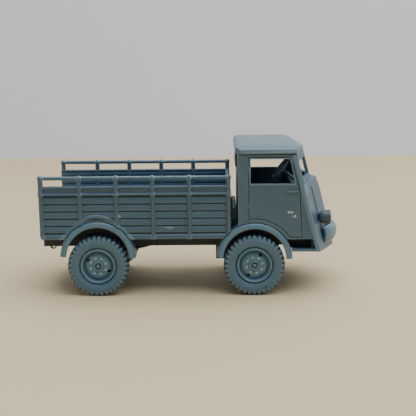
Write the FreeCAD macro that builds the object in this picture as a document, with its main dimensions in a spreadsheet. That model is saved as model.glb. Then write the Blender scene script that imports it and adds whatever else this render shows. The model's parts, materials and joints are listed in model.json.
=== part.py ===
import FreeCAD, Part
import math
import os
import re
import Sketcher
from FreeCAD import Rotation, Vector

# Scale model of a light two-axle cargo truck with a cab over the front axle.
# Frame: +X forward, +Y to the truck's left, +Z up. The ground is z = 0, and
# x = 0 is half way between the rear end of the chassis and the bumper.

# Driving dimensions in millimetres, unless the name says otherwise.
SIZES = {
    # clearances
    "seam": 0.05,
    "running_gap": 0.15,
    "stub_clearance": 0.05,
    "overlap": 0.1,
    # axles and wheels
    "front_axle_x": 14.29,
    "wheelbase": 34.72,
    "tyre_radius": 6.81,
    "tyre_width": 3.4,
    "wheel_inset": 0.14,
    "lug_depth": 0.42,
    "lug_count": 36,
    "lug_base": 0.78,
    "lug_tip": 0.46,
    "shoulder_set": 0.2,
    "sidewall_drop": 0.3,
    "rim_radius": 3.92,
    "rim_lip": 0.74,
    "rim_wall": 0.45,
    "rim_face_set": 0.1,
    "disc_wall": 0.5,
    "hub_height": 1.2,
    "hub_depth": 0.6,
    "hub_ring_radius": 1.2,
    "hub_cap_radius": 0.62,
    "hub_cap_height": 0.25,
    "bolt_circle": 1.77,
    "bolt_radius": 0.3,
    "bolt_count": 8,
    "bolt_height": 0.3,
    "first_nut_deg": 14.5,
    "hand_hole_circle": 2.75,
    "hand_hole_radius": 0.4,
    "hand_hole_depth": 0.3,
    "hand_hole_deg": 31.0,
    "stub_radius": 0.6,
    "stub_length": 1.4,
    "drum_radius": 2.6,
    "drum_width": 1.2,
    "axle_tube_radius": 0.8,
    "differential_radius": 2.0,
    "differential_half": 1.0,
    "differential_collar_half": 1.7,
    "differential_collar_radius": 1.4,
    "knuckle_length": 1.3,
    "knuckle_width": 1.5,
    "knuckle_height": 3.0,
    "pinion_length": 0.6,
    "pinion_radius": 0.9,
    "shaft_radius": 0.45,
    "shaft_joint_ahead": 12.1,
    "shaft_joint_radius": 0.75,
    "shaft_joint_length": 1.2,
    # chassis
    "rail_centre": 5.0,
    "rail_width": 0.9,
    "rail_bottom": 9.6,
    "rail_height": 2.4,
    "rail_flange": 0.35,
    "frame_overhang": 1.07,
    "frame_front_ahead": 12.0,
    "cross_member_width": 0.9,
    "cross_member_rise": 0.3,
    "cross_member_drop": 0.15,
    "spring_member_inset": 0.6,
    "spring_member_gap": 1.0,
    "bed_member_setback": 8.0,
    "gearbox_member_gap": 1.7,
    "hanger_half": 0.45,
    "spring_half_span": 5.6,
    "spring_sag": 0.5,
    "spring_leaf": 0.28,
    "spring_width": 1.1,
    "spring_eye_radius": 0.42,
    # load bed
    "half_width": 14.14,
    "bed_length": 42.08,
    "bed_gap": 1.6,
    "bed_bottom": 12.92,
    "bed_floor_thickness": 0.8,
    "floor_board_relief": 0.2,
    "floor_board_count": 7,
    "floor_board_gap": 0.2,
    "bearer_width": 0.9,
    "bearer_end_inset": 1.2,
    "bearer_overhang": 1.2,
    "bed_end_inset": 0.35,
    "board_end_inset": 1.1,
    "panel_inset": 0.55,
    "panel_wall": 0.6,
    "panel_top": 24.82,
    "sill_height": 1.2,
    "sill_relief": 0.3,
    "sill_round": 0.25,
    "first_groove": 0.48,
    "last_groove": 0.42,
    "plank_count": 5,
    "plank_relief": 0.26,
    "plank_bulge": 0.08,
    "plank_lap": 0.3,
    "tailgate_planks": 3,
    "tailgate_cap": 0.5,
    "bed_corner_radius": 1.1,
    "moulding_bottom": 22.72,
    "moulding_height": 0.6,
    "moulding_round": 0.15,
    "post_radius": 0.52,
    "post_depth": 0.3,
    "post_flat_share": 0.4,
    "post_cap_radius": 0.64,
    "post_cap_height": 1.1,
    "post_pitch": 8.0,
    "inner_post_half": 0.45,
    "inner_post_depth": 0.4,
    "rail_tube_radius": 0.42,
    "rail_tube_z": 26.6,
    "arch_strip_top": 18.4,
    "arch_strip_radius": 6.9,
    "arch_strip_relief": 0.3,
    "arch_knee_deg": 43.0,
    # mudguards
    "guard_inner": 6.95,
    "guard_outer": 8.4,
    "guard_shell": 0.6,
    "guard_lip": 1.0,
    "guard_depth": 3.89,
    "rear_guard_rise": 1.79,
    "front_guard_rise": 1.29,
    "front_guard_shift": 0.06,
    "front_guard_foot_deg": 1.8,
    "front_guard_sweep_deg": 173.0,
    "rear_guard_foot_deg": 0.7,
    "rear_guard_sweep_deg": 175.6,
    # cab
    "cab_inset": 0.29,
    "cab_wall": 0.75,
    "cab_rear_setback": 3.59,
    "cab_floor_z": 12.9,
    "cab_floor_thickness": 0.6,
    "cab_bearer_rear_inset": 0.2,
    "cab_bearer_front_inset": 2.6,
    "corner_ahead": 10.56,
    "rake": 0.262,
    "window_sill": 25.1,
    "window_top": 30.5,
    "window_rear_inset": 2.75,
    "window_front_ahead": 8.76,
    "window_front_slope": 0.185,
    "strip_width": 1.0,
    "strip_round": 0.25,
    "strip_top_drop": 0.3,
    "door_rear_inset": 2.25,
    "door_bottom": 13.1,
    "door_top_gap": 0.42,
    "door_break_z": 23.6,
    "door_front_ahead": 10.59,
    "door_guard_gap": 0.75,
    "door_line_width": 0.15,
    "door_line_depth": 0.14,
    "hinge_radius": 0.24,
    "hinge_height": 1.0,
    "hinge_low": 19.7,
    "hinge_high": 27.7,
    "handle_rear_ahead": 7.0,
    "handle_length": 2.7,
    "handle_height": 0.34,
    "handle_relief": 0.24,
    "handle_z": 23.3,
    "step_bottom": 9.95,
    "step_plate": 0.55,
    "step_top": 12.75,
    "step_depth": 3.4,
    "step_wall": 0.5,
    "step_front_set": 0.75,
    "step_well_ahead": 5.0,
    "roof_bottom": 31.56,
    "roof_side_height": 1.44,
    "roof_crown": 0.55,
    "roof_edge_radius": 0.75,
    "roof_rear_radius": 1.1,
    "roof_rear_overhang": 0.65,
    "roof_front_ahead": 9.1,
    "roof_wall": 0.6,
    "roof_hollow_inset": 0.4,
    "roof_front_wall": 1.5,
    "roof_peak_depth": 2.75,
    "roof_slope_start": 7.2,
    "roof_peak_drop": 1.7,
    # windscreen and nose
    "screen_depth": 2.6,
    "screen_gap": 0.2,
    "screen_wall": 0.72,
    "screen_post": 0.9,
    "screen_centre_post": 0.9,
    "screen_header_bottom": 29.65,
    "screen_base_height": 0.45,
    "nose_depth": 4.15,
    "nose_wall": 0.8,
    "shelf_point_set": 0.3,
    "shelf_thickness": 0.5,
    "nose_corner_bottom": 10.0,
    "nose_centre_bottom": 8.5,
    "bonnet_drop": 0.45,
    "grille_half_width": 7.6,
    "grille_relief": 0.18,
    "grille_bottom": 11.2,
    "grille_top": 23.4,
    # headlights and bumper
    "lamp_radius": 1.62,
    "lamp_length": 2.5,
    "lamp_inset": 5.54,
    "lamp_rim": 0.25,
    "lamp_z": 16.7,
    "lamp_front_ahead": 17.2,
    "bumper_front_ahead": 19.76,
    "bumper_bottom": 10.15,
    "bumper_height": 3.9,
    "bumper_bulge": 1.5,
    "bumper_inset": 5.14,
    "bumper_sweep": 3.4,
    # inside the cab
    "wheel_rim_radius": 2.42,
    "wheel_rim_tube": 0.27,
    "spoke_width": 0.34,
    "spoke_thickness": 0.24,
    "hub_radius": 0.55,
    "column_radius": 0.3,
    "steering_x_ahead": 6.06,
    "seat_inset": 7.14,
    "steering_z": 27.5,
    "steering_tilt_deg": 37.0,
    "column_length": 5.2,
    "wheel_hub_drop": 0.2,
    "wheel_hub_length": 0.45,
    "wheel_rim_half_height": 0.216,
    "seat_width": 6.0,
    "seat_depth": 5.2,
    "seat_bottom": 16.85,
    "cushion_height": 2.1,
    "seat_back_top": 24.2,
    "seat_back_wall": 1.2,
    "seat_rear_gap": 0.3,
    "seat_round": 0.5,
    "seat_base_front_set": 0.8,
    "seat_base_inset": 0.3,
    "cover_half_width": 3.6,
    "cover_top": 19.4,
    "cover_wall": 0.6,
    "cover_length": 10.5,
    "cover_opening_set": 0.5,
    "engine_half_width": 2.6,
    "engine_height": 8.6,
    "engine_length": 8.4,
    "engine_rear_setback": 2.2,
    "gearbox_length": 5.2,
    "gearbox_half_width": 1.6,
    "transfer_rear": 6.4,
    "transfer_length": 3.8,
    "transfer_half_width": 1.8,
    "transfer_depth": 1.3,
    "dash_height": 2.6,
    "dash_wall": 0.8,
    "dash_setback": 2.0,
    "dash_drop": 0.55,
    "rear_window_half": 4.6,
    "rear_window_bottom": 28.2,
    "rear_window_height": 2.3,
    "rear_frame_width": 0.5,
    "rear_frame_relief": 0.45,
    # behind the cab
    "box_length": 1.1,
    "box_half_width": 8.0,
    "box_top": 18.9,
    # tow hook
    "hook_radius": 0.5,
    "hook_thickness": 0.8,
    "hook_width": 1.5,
    "hook_drop": 1.9,
    "hook_ahead": 0.3,
}

doc = FreeCAD.newDocument("cargo_truck")
sheet = doc.addObject("Spreadsheet::Sheet", "dims")
for row, (alias, size) in enumerate(SIZES.items(), start=1):
    sheet.set(f"A{row}", str(size))
    sheet.setAlias(f"A{row}", alias)
doc.recompute()


def bound(text):
    """An expression with each name of the sheet written in full."""
    return re.sub(
        r"[a-z_][a-z0-9_]*",
        lambda word: "dims." + word.group() if word.group() in SIZES else word.group(),
        str(text),
    )


def value(text):
    """The number that an expression gives now."""
    return float(sheet.evalExpression(bound(text)))


def span(low, high):
    return f"({high}) - ({low})"


def minus(text):
    return f"0 - ({text})"


def place(piece, x="0", y="0", z="0"):
    """Bind an object's place to three expressions."""
    for axis, text in zip("xyz", (x, y, z)):
        piece.setExpression("Placement.Base." + axis, bound(text))
    return piece


def block(name, x, y, z):
    """A box between two limits on each axis."""
    piece = doc.addObject("Part::Box", name)
    place(piece, x[0], y[0], z[0])
    for side, limits in zip(("Length", "Width", "Height"), (x, y, z)):
        piece.setExpression(side, bound(span(*limits)))
    return piece


TURNS = {
    "x": Rotation(Vector(0, 1, 0), 90),
    "y": Rotation(Vector(1, 0, 0), -90),
    "z": Rotation(),
}


def rod(name, axis, start, length, radius):
    """A round bar that starts at a point and runs along an axis."""
    piece = doc.addObject("Part::Cylinder", name)
    piece.Placement = FreeCAD.Placement(Vector(), TURNS[axis])
    place(piece, *start)
    piece.setExpression("Height", bound(length))
    piece.setExpression("Radius", bound(radius))
    return piece


def bar(name, axis, start, length, radius, sides=8):
    """A straight bar with flat sides that starts at a point and runs along an axis."""
    piece = doc.addObject("Part::Prism", name)
    piece.Polygon = sides
    piece.Placement = FreeCAD.Placement(Vector(), TURNS[axis])
    place(piece, *start)
    piece.setExpression("Height", bound(length))
    piece.setExpression("Circumradius", bound(radius))
    return piece


def arc_middle(start, end, radius, side):
    """The middle point of an arc; side is 1 where it bulges to the right of its run."""
    chord = end - start
    half = chord.Length / 2
    sagitta = radius - math.sqrt(radius * radius - half * half)
    right = Vector(chord.y, -chord.x, 0) / chord.Length
    return (start + end) / 2 + right * (sagitta * side)


def add_outline(sketch, points):
    """Draw a closed outline and bind each corner. A point is (across, up), and
    with (across, up, radius, side) the edge that reaches it is an arc."""
    places = [Vector(value(point[0]), value(point[1]), 0) for point in points]
    edges = []
    for index, point in enumerate(points):
        start = places[index - 1]
        end = places[index]
        if len(point) == 2:
            edges.append(Part.LineSegment(start, end))
        else:
            middle = arc_middle(start, end, value(point[2]), point[3])
            edges.append(Part.Arc(start, middle, end))
    first_edge = sketch.GeometryCount
    sketch.addGeometry(edges, False)
    drawn = sketch.Geometry[first_edge:]
    ends = []
    for index, edge in enumerate(drawn):
        end = places[index]
        runs_on = (edge.EndPoint - end).Length < (edge.StartPoint - end).Length
        ends.append((first_edge + index, 1, 2) if runs_on else (first_edge + index, 2, 1))
    rules = []
    driven = []
    for index, point in enumerate(points):
        number, _, last = ends[index]
        following, following_first, _ = ends[(index + 1) % len(ends)]
        rules.append(Sketcher.Constraint("Coincident", number, last, following, following_first))
        for kind, text in zip(("DistanceX", "DistanceY"), point[:2]):
            driven.append((len(rules), text))
            rules.append(Sketcher.Constraint(kind, -1, 1, number, last, value(text)))
        if len(point) > 2:
            driven.append((len(rules), point[2]))
            rules.append(Sketcher.Constraint("Radius", number, value(point[2])))
    first_rule = sketch.ConstraintCount
    sketch.addConstraint(rules)
    for index, text in driven:
        sketch.setExpression(f"Constraints[{first_rule + index}]", bound(text))


def arc_points(centre, radius, first, sweep, steps):
    """Corners along an arc about a centre, from an angle above the first axis."""
    across, up = centre
    turns = [f"({first} + {sweep} * {index} / {steps})" for index in range(steps + 1)]
    return [(f"{across} + {radius} * cos({turn})", f"{up} + {radius} * sin({turn})") for turn in turns]


def sketched_body(name, plane, outlines):
    """A body with one sketch on one of its own origin planes."""
    body = doc.addObject("PartDesign::Body", name)
    sketch = body.newObject("Sketcher::SketchObject", name + "_outline")
    for feature in body.Origin.OriginFeatures:
        if feature.Role == plane + "_Plane":
            sketch.AttachmentSupport = [(feature, "")]
    sketch.MapMode = "FlatFace"
    for outline in outlines:
        add_outline(sketch, outline)
    return body, sketch


def plate(name, plane, outlines, low, high):
    """An outline padded from low to high along its plane's normal."""
    body, sketch = sketched_body(name, plane, outlines)
    pad = body.newObject("PartDesign::Pad", name + "_pad")
    pad.Profile = sketch
    pad.setExpression("Length", bound(span(low, high)))
    if plane == "XZ":
        place(body, y=high)
    if plane == "YZ":
        place(body, x=low)
    if plane == "XY":
        place(body, z=low)
    return body


def turned(name, outline, sweep="360", start_deg=0.0):
    """An outline of (radius, along) turned about the Y axis. A part turn starts
    start_deg above +X and runs upwards."""
    body, sketch = sketched_body(name, "XY", [outline])
    turn = body.newObject("PartDesign::Revolution", name + "_turn")
    turn.Profile = sketch
    turn.ReferenceAxis = (sketch, ["V_Axis"])
    turn.Reversed = True
    turn.setExpression("Angle", bound(sweep))
    body.Placement = FreeCAD.Placement(Vector(), Rotation(Vector(0, 1, 0), -start_deg))
    return body


def raked(name, outline, top, bottom):
    """A plan outline at height top, swept down to bottom along the cab's rake."""
    sketch = doc.addObject("Sketcher::SketchObject", name + "_plan")
    add_outline(sketch, outline)
    place(sketch, z=top)
    piece = doc.addObject("Part::Extrusion", name)
    piece.Base = sketch
    piece.DirMode = "Custom"
    piece.Dir = Vector(value("rake"), 0, -1)
    piece.setExpression("Dir.x", bound("rake"))
    piece.setExpression("LengthFwd", bound(f"({span(bottom, top)}) * sqrt(1 + rake^2)"))
    piece.Solid = True
    return piece


def fused(name, pieces):
    piece = doc.addObject("Part::MultiFuse", name)
    piece.Shapes = pieces
    piece.Refine = True
    return piece


def cut(name, base, tools):
    """The base with every tool taken away."""
    for index, tool in enumerate(tools):
        piece = doc.addObject("Part::Cut", f"{name}_{index}")
        piece.Base = base
        piece.Tool = tool
        base = piece
    return base


def common(name, pieces):
    piece = doc.addObject("Part::MultiCommon", name)
    piece.Shapes = pieces
    return piece


def mirrored(name, source):
    """The same piece on the truck's left side."""
    piece = doc.addObject("Part::Mirroring", name)
    piece.Source = source
    piece.Normal = Vector(0, 1, 0)
    return piece


nodes = {}


def keep(name, piece):
    piece.Label = name
    nodes[name] = piece


def keep_pair(name, right):
    """A right-hand piece and its mirror image on the left."""
    keep(name + "_right", right)
    keep(name + "_left", mirrored(name + "_mirror", right))


SIDES = {"right": -1, "left": 1}

# Places that follow from the driving dimensions.
WHEEL_FACE = "(half_width - wheel_inset)"
GUARD_FACE = "(half_width - guard_depth)"
CAB_HALF = "(half_width - cab_inset)"
ROOF_SIDE_TOP = "(roof_bottom + roof_side_height)"
REAR_AXLE = "(front_axle_x - wheelbase)"
STEERING_Y = "(half_width - seat_inset)"
LAMP_Y = "(half_width - lamp_inset)"
BUMPER_HALF = "(half_width - bumper_inset)"
SILL_TOP = "(bed_bottom + sill_height)"
FIRST_PLANK = f"({SILL_TOP} + first_groove)"
PLANK_PITCH = f"((moulding_bottom - last_groove - {FIRST_PLANK}) / plank_count)"
AXLES = {"front": "front_axle_x", "rear": REAR_AXLE}
CAB_REAR = "(front_axle_x - cab_rear_setback)"
BED_FRONT = f"({CAB_REAR} - bed_gap)"
BED_REAR = f"({BED_FRONT} - bed_length)"
FRAME_REAR = f"({BED_REAR} - frame_overhang)"
FRAME_FRONT = "(front_axle_x + frame_front_ahead)"
FRAME_TOP = "(rail_bottom + rail_height)"
MEMBER_BOTTOM = "(rail_bottom + cross_member_rise)"
FLOOR_TOP = "(bed_bottom + bed_floor_thickness)"
CAB_FLOOR_TOP = "(cab_floor_z + cab_floor_thickness)"
GUARD_X = {"front": "(front_axle_x + front_guard_shift)", "rear": REAR_AXLE}
GUARD_Z = {"front": "(tyre_radius + front_guard_rise)", "rear": "(tyre_radius + rear_guard_rise)"}
FLOOR_BASE = f"({FLOOR_TOP} - floor_board_relief)"
PANEL_OUT = "(half_width - panel_inset)"
PANEL_IN = "(half_width - panel_inset - panel_wall)"
BOARD_EDGE = f"({PANEL_IN} - inner_post_depth - 2 * seam)"
SCREEN_HALF = f"({CAB_HALF} - cab_wall - seam)"
ENGINE_REAR = "(front_axle_x - engine_rear_setback)"
LEAF_SHARES = (1.0, 0.72, 0.45)
RIM_SIDES = 20
WALL_SIDES = 24
BUMPER_STEPS = 8
LAMP_SIDES = 12
HUB_SIDES = 12
RING_SIDES = 16
DRUM_SIDES = 12
GUARD_STEPS = 12
ARCH_SIDES = 36
STRIP_STEPS = 8
CORNER_STEPS = 4


def corner(z):
    """How far forward the cab's raked front corner is at a height."""
    return f"(front_axle_x + corner_ahead + rake * (window_sill - ({z})))"


def guard_hole(name, end, side="right"):
    """The hole that a mudguard fills, from its inner wall outwards."""
    low = f"({GUARD_FACE} - guard_shell - seam)"
    high = "(half_width + 1)"
    near = {"right": minus(high), "left": low}[side]
    start = (GUARD_X[end], near, GUARD_Z[end])
    radius = f"(guard_outer + seam) / cos(180 / {ARCH_SIDES})"
    return bar(f"{name}_{end}_{side}", "y", start, span(low, high), radius, ARCH_SIDES)


def guard_holes(name, ends):
    return [guard_hole(name, end, side) for end in ends for side in SIDES]


# Wheels: a tyre with cross bars, and a pressed disc wheel with its hub.
def tyre(name):
    """A toothed tread between two bulged sidewalls, bored for the rim."""
    half = "(tyre_width / 2)"
    root = "(tyre_radius - lug_depth)"
    shoulder = f"({half} - shoulder_set)"
    teeth = []
    corners = (
        (root, "lug_base", -1),
        ("tyre_radius", "lug_tip", -1),
        ("tyre_radius", "lug_tip", 1),
        (root, "lug_base", 1),
    )
    for index in range(int(SIZES["lug_count"])):
        for radius, width, way in corners:
            turn = f"(360 * {index} / lug_count + {way} * {width} / (2 * {radius}) * 180 / pi)"
            teeth.append((f"{radius} * cos({turn})", f"{radius} * sin({turn})"))
    tread = plate(name + "_tread", "XZ", [teeth], minus(shoulder), shoulder)
    wall_radius = f"{root} - sidewall_drop"
    wall = bar(name + "_wall", "y", ("0", minus(half), "0"), "tyre_width", wall_radius, WALL_SIDES)
    reach = "2 * tyre_width"
    bore_radius = f"(rim_radius + seam) / cos(180 / {RIM_SIDES})"
    bore = bar(name + "_bore", "y", ("0", "0 - tyre_width", "0"), reach, bore_radius, RIM_SIDES)
    return cut(name, fused(name + "_whole", [tread, wall]), [bore])


def wheel_disc(name):
    """A rim, hollow on both sides of its disc, with a hub, a cap and nuts."""
    face = "(tyre_width / 2 - rim_face_set)"
    barrel = "(rim_radius - rim_wall)"
    lip = "(rim_radius - rim_lip)"
    hub_top = "(hub_height - overlap)"

    def along(label, low, high, radius, sides):
        return bar(f"{name}_{label}", "y", ("0", low, "0"), span(low, high), radius, sides)

    rim = along("rim", minus(face), face, "rim_radius", RIM_SIDES)
    front = along("front", "disc_wall", "tyre_width", lip, RIM_SIDES)
    rear = along("rear", "0 - tyre_width", "0", barrel, RIM_SIDES)
    pieces = [
        cut(name + "_hollow", rim, [front, rear]),
        along("hub", "0 - hub_depth", "hub_height", "hub_ring_radius", HUB_SIDES),
        along("cap", hub_top, "hub_height + hub_cap_height", "hub_cap_radius", 8),
    ]
    for index in range(int(SIZES["bolt_count"])):
        turn = f"(360 * {index} / bolt_count - first_nut_deg)"
        start = (f"bolt_circle * sin({turn})", "2 * overlap", f"bolt_circle * cos({turn})")
        length = "disc_wall - 2 * overlap + bolt_height"
        pieces.append(bar(f"{name}_nut_{index}", "y", start, length, "bolt_radius", 6))
    start = ("0", "0 - hub_depth - overlap", "0")
    depth = "2 * hub_depth + overlap"
    tools = [rod(name + "_bore", "y", start, depth, "stub_radius + stub_clearance")]
    for index, turn in enumerate(("hand_hole_deg", "(hand_hole_deg + 180)")):
        start = (
            f"hand_hole_circle * sin({turn})",
            "disc_wall - hand_hole_depth",
            f"hand_hole_circle * cos({turn})",
        )
        tools.append(bar(f"{name}_hole_{index}", "y", start, "1", "hand_hole_radius"))
    return cut(name, fused(name + "_bolted", pieces), tools)


# Each wheel is the same pair of mouldings, turned to its side and spun a little.
WHEEL_MIDDLE = f"({WHEEL_FACE} - tyre_width / 2)"
WHEEL_FORMS = {"tyre": tyre("tyre_form"), "wheel_disc": wheel_disc("disc_form")}
WHEEL_SPINS = {"front_right": 0, "front_left": 60, "rear_right": 90, "rear_left": 15}
for wheel, spin in WHEEL_SPINS.items():
    end, side = wheel.split("_")
    sign = SIDES[side]
    facing = Rotation(Vector(0, 0, 1), 180 if side == "right" else 0)
    for kind, form in WHEEL_FORMS.items():
        whole = doc.addObject("Part::Compound", f"{kind}_{wheel}_placed")
        whole.Links = [form]
        spun = Rotation(Vector(0, 1, 0), spin)
        whole.Placement = FreeCAD.Placement(Vector(), spun * facing)
        place(whole, AXLES[end], f"{sign} * {WHEEL_MIDDLE}", "tyre_radius")
        keep(f"{kind}_{wheel}", whole)


# Axles: a tube with a stepped housing, drums, stubs and a pinion nose.
def axle(end):
    x = AXLES[end]
    z = "tyre_radius"
    drum_out = f"({WHEEL_MIDDLE} - hub_depth - running_gap)"
    drum_in = f"({drum_out} - drum_width)"

    def across(label, half, radius, sides):
        return bar(f"axle_{end}_{label}", "y", (x, minus(half), z), f"2 * {half}", radius, sides)

    reach = "(differential_radius + pinion_length)"
    start = {"front": f"{x} - {reach}", "rear": x}[end]
    pieces = [
        across("tube", drum_in, "axle_tube_radius", 8),
        across("housing", "differential_half", "differential_radius", HUB_SIDES),
        across("collars", "differential_collar_half", "differential_collar_radius", HUB_SIDES),
        bar(f"axle_{end}_nose", "x", (start, "0", z), reach, "pinion_radius"),
    ]
    for side, sign in SIDES.items():
        name = f"axle_{end}_{side}"
        near = {1: drum_in, -1: minus(drum_out)}[sign]
        pieces.append(bar(f"{name}_drum", "y", (x, near, z), "drum_width", "drum_radius", DRUM_SIDES))
        length = "(drum_width + stub_length - running_gap)"
        near = {1: drum_in, -1: minus(f"{drum_in} + {length}")}[sign]
        pieces.append(rod(f"{name}_stub", "y", (x, near, z), length, "stub_radius"))
        if end == "front":
            low, high = f"({drum_in} - knuckle_length)", drum_in
            limits = {1: (low, high), -1: (minus(high), minus(low))}[sign]
            pieces.append(
                block(
                    f"{name}_knuckle",
                    (f"{x} - knuckle_width / 2", f"{x} + knuckle_width / 2"),
                    limits,
                    (f"{z} - knuckle_height / 2", f"{z} + knuckle_height / 2"),
                )
            )
    return fused(f"axle_{end}", pieces)


for end in ("front", "rear"):
    keep(f"{end}_axle", axle(end))


# Leaf springs: three curved leaves of falling length with rolled eyes.
def leaf_spring(end):
    radius = "((spring_half_span^2 + spring_sag^2) / (2 * spring_sag))"
    bottom = "(tyre_radius + axle_tube_radius + seam)"
    centre_z = f"({bottom} + 3 * spring_leaf + {radius})"
    low = "0 - rail_centre - spring_width / 2"
    high = "0 - rail_centre + spring_width / 2"
    leaves = []
    for index, share in enumerate(LEAF_SHARES):
        outline = [
            (f"{radius} + {index} * spring_leaf", low),
            (f"{radius} + {index + 1} * spring_leaf", low),
            (f"{radius} + {index + 1} * spring_leaf", high),
            (f"{radius} + {index} * spring_leaf", high),
        ]
        reach = math.degrees(math.asin(value(f"{share} * spring_half_span / {radius}")))
        leaf = turned(f"spring_{end}_leaf_{index}", outline, str(2 * reach), 270 - reach)
        place(leaf, AXLES[end], "0", centre_z)
        leaves.append(leaf)
    eye_z = f"({bottom} + 3 * spring_leaf + spring_sag)"
    for index, sign in enumerate((-1, 1)):
        start = (f"{AXLES[end]} + {sign} * spring_half_span", low, eye_z)
        eye = bar(f"spring_{end}_eye_{index}", "y", start, "spring_width", "spring_eye_radius", 6)
        leaves.append(eye)
    return fused(f"spring_{end}", leaves)


for end in ("front", "rear"):
    keep_pair(f"spring_{end}", leaf_spring(end))


# Chassis frame: two channel rails with cross members and spring hangers.
def chassis_frame():
    pieces = []
    hangers = []
    eye_z = "(tyre_radius + axle_tube_radius + seam + 3 * spring_leaf + spring_sag)"
    for side, sign in SIDES.items():
        outer = f"{sign} * (rail_centre + rail_width / 2)"
        inner = f"{sign} * (rail_centre - rail_width / 2)"
        web = f"{sign} * (rail_centre + rail_width / 2 - rail_flange)"
        outline = [
            (outer, "rail_bottom"),
            (outer, FRAME_TOP),
            (inner, FRAME_TOP),
            (inner, f"{FRAME_TOP} - rail_flange"),
            (web, f"{FRAME_TOP} - rail_flange"),
            (web, "rail_bottom + rail_flange"),
            (inner, "rail_bottom + rail_flange"),
            (inner, "rail_bottom"),
        ]
        pieces.append(plate(f"rail_{side}", "YZ", [outline], FRAME_REAR, FRAME_FRONT))
        low, high = {
            1: ("rail_centre - rail_width / 2", "rail_centre + rail_width / 2"),
            -1: ("0 - rail_centre - rail_width / 2", "0 - rail_centre + rail_width / 2"),
        }[sign]
        for end, x in AXLES.items():
            for index, way in enumerate((-1, 1)):
                middle = f"({x} + {way} * spring_half_span)"
                hangers.append(
                    block(
                        f"hanger_{side}_{end}_{index}",
                        (f"{middle} - hanger_half", f"{middle} + hanger_half"),
                        (low, high),
                        (f"{eye_z} + spring_eye_radius + seam", "rail_bottom + rail_flange"),
                    )
                )
    starts = [
        FRAME_REAR,
        f"({REAR_AXLE} - spring_half_span + spring_member_inset)",
        f"({REAR_AXLE} + spring_half_span + spring_member_gap)",
        f"({REAR_AXLE} + shaft_joint_ahead - cross_member_width / 2)",
        f"({BED_FRONT} - bed_member_setback)",
        f"({ENGINE_REAR} - gearbox_length - gearbox_member_gap)",
        f"({FRAME_FRONT} - cross_member_width)",
    ]
    edge = "(rail_centre - rail_flange)"
    for index, x in enumerate(starts):
        limits = (x, f"{x} + cross_member_width")
        height = (MEMBER_BOTTOM, f"{FRAME_TOP} - cross_member_drop")
        pieces.append(block(f"cross_member_{index}", limits, (minus(edge), edge), height))
    return fused("frame", pieces + hangers)


keep("chassis_frame", chassis_frame())

# Engine and gearbox as one plain block, and the shafts to both axles.
keep(
    "engine_and_gearbox",
    fused(
        "engine",
        [
            block(
                "engine_block",
                (ENGINE_REAR, f"{ENGINE_REAR} + engine_length"),
                ("0 - engine_half_width", "engine_half_width"),
                ("rail_bottom", "rail_bottom + engine_height"),
            ),
            block(
                "gearbox",
                (f"{ENGINE_REAR} - gearbox_length", ENGINE_REAR),
                ("0 - gearbox_half_width", "gearbox_half_width"),
                ("rail_bottom", FRAME_TOP),
            ),
        ],
    ),
)


def drive_shafts():
    """A level shaft under the frame, a sloping one to the rear axle, and one ahead."""
    box_rear = f"({ENGINE_REAR} - transfer_rear)"
    box_front = f"({box_rear} + transfer_length)"
    reach = "(differential_radius + pinion_length + 0.5 * shaft_radius)"
    joint_x = f"({REAR_AXLE} + shaft_joint_ahead)"
    joint_z = "(rail_bottom - shaft_radius - seam)"
    rear_x = f"({REAR_AXLE} + {reach})"
    front_end = f"(front_axle_x - {reach})"
    level = bar(
        "level_shaft",
        "x",
        (joint_x, "0", joint_z),
        span(joint_x, f"{box_rear} + 2 * overlap"),
        "shaft_radius",
    )
    along = span(rear_x, joint_x)
    rise = span("tyre_radius", joint_z)
    length = f"sqrt(({along})^2 + ({rise})^2)"
    sloping = bar("sloping_shaft", "z", (rear_x, "0", "tyre_radius"), length, "shaft_radius")
    slope = Vector(value(along), 0, value(rise))
    sloping.Placement = FreeCAD.Placement(sloping.Placement.Base, Rotation(Vector(0, 0, 1), slope))
    half = "shaft_joint_length / 2"
    start = (joint_x, minus(half), f"{joint_z}")
    joint = bar("shaft_joint", "y", start, "shaft_joint_length", "shaft_joint_radius")
    front = bar(
        "front_shaft",
        "x",
        (f"{box_front} - 2 * overlap", "0", "tyre_radius"),
        span(f"{box_front} - 2 * overlap", front_end),
        "shaft_radius",
    )
    transfer = block(
        "transfer_box",
        (box_rear, box_front),
        ("0 - transfer_half_width", "transfer_half_width"),
        ("tyre_radius - transfer_depth", "rail_bottom - seam"),
    )
    return fused("shafts", [level, sloping, joint, front, transfer])


keep("drive_shafts", drive_shafts())


# Tow hook: a plate with a round foot and an eye, under the rear cross member.
def tow_hook():
    rear = f"({FRAME_REAR} + hook_ahead)"
    front = f"({rear} + hook_width)"
    middle = f"({rear} + hook_width / 2)"
    top = f"{MEMBER_BOTTOM} - seam"
    centre_z = "(rail_bottom - hook_drop + hook_width / 2)"
    outline = [
        (rear, top),
        (rear, centre_z),
        (front, centre_z, "hook_width / 2 * 1.001", 1),
        (front, top),
    ]
    half = "hook_thickness / 2"
    eye = rod("hook_eye", "y", (middle, "-1", centre_z), "2", "hook_radius")
    return cut("hook", plate("hook_plate", "XZ", [outline], minus(half), half), [eye])


keep("tow_hook", tow_hook())


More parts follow.
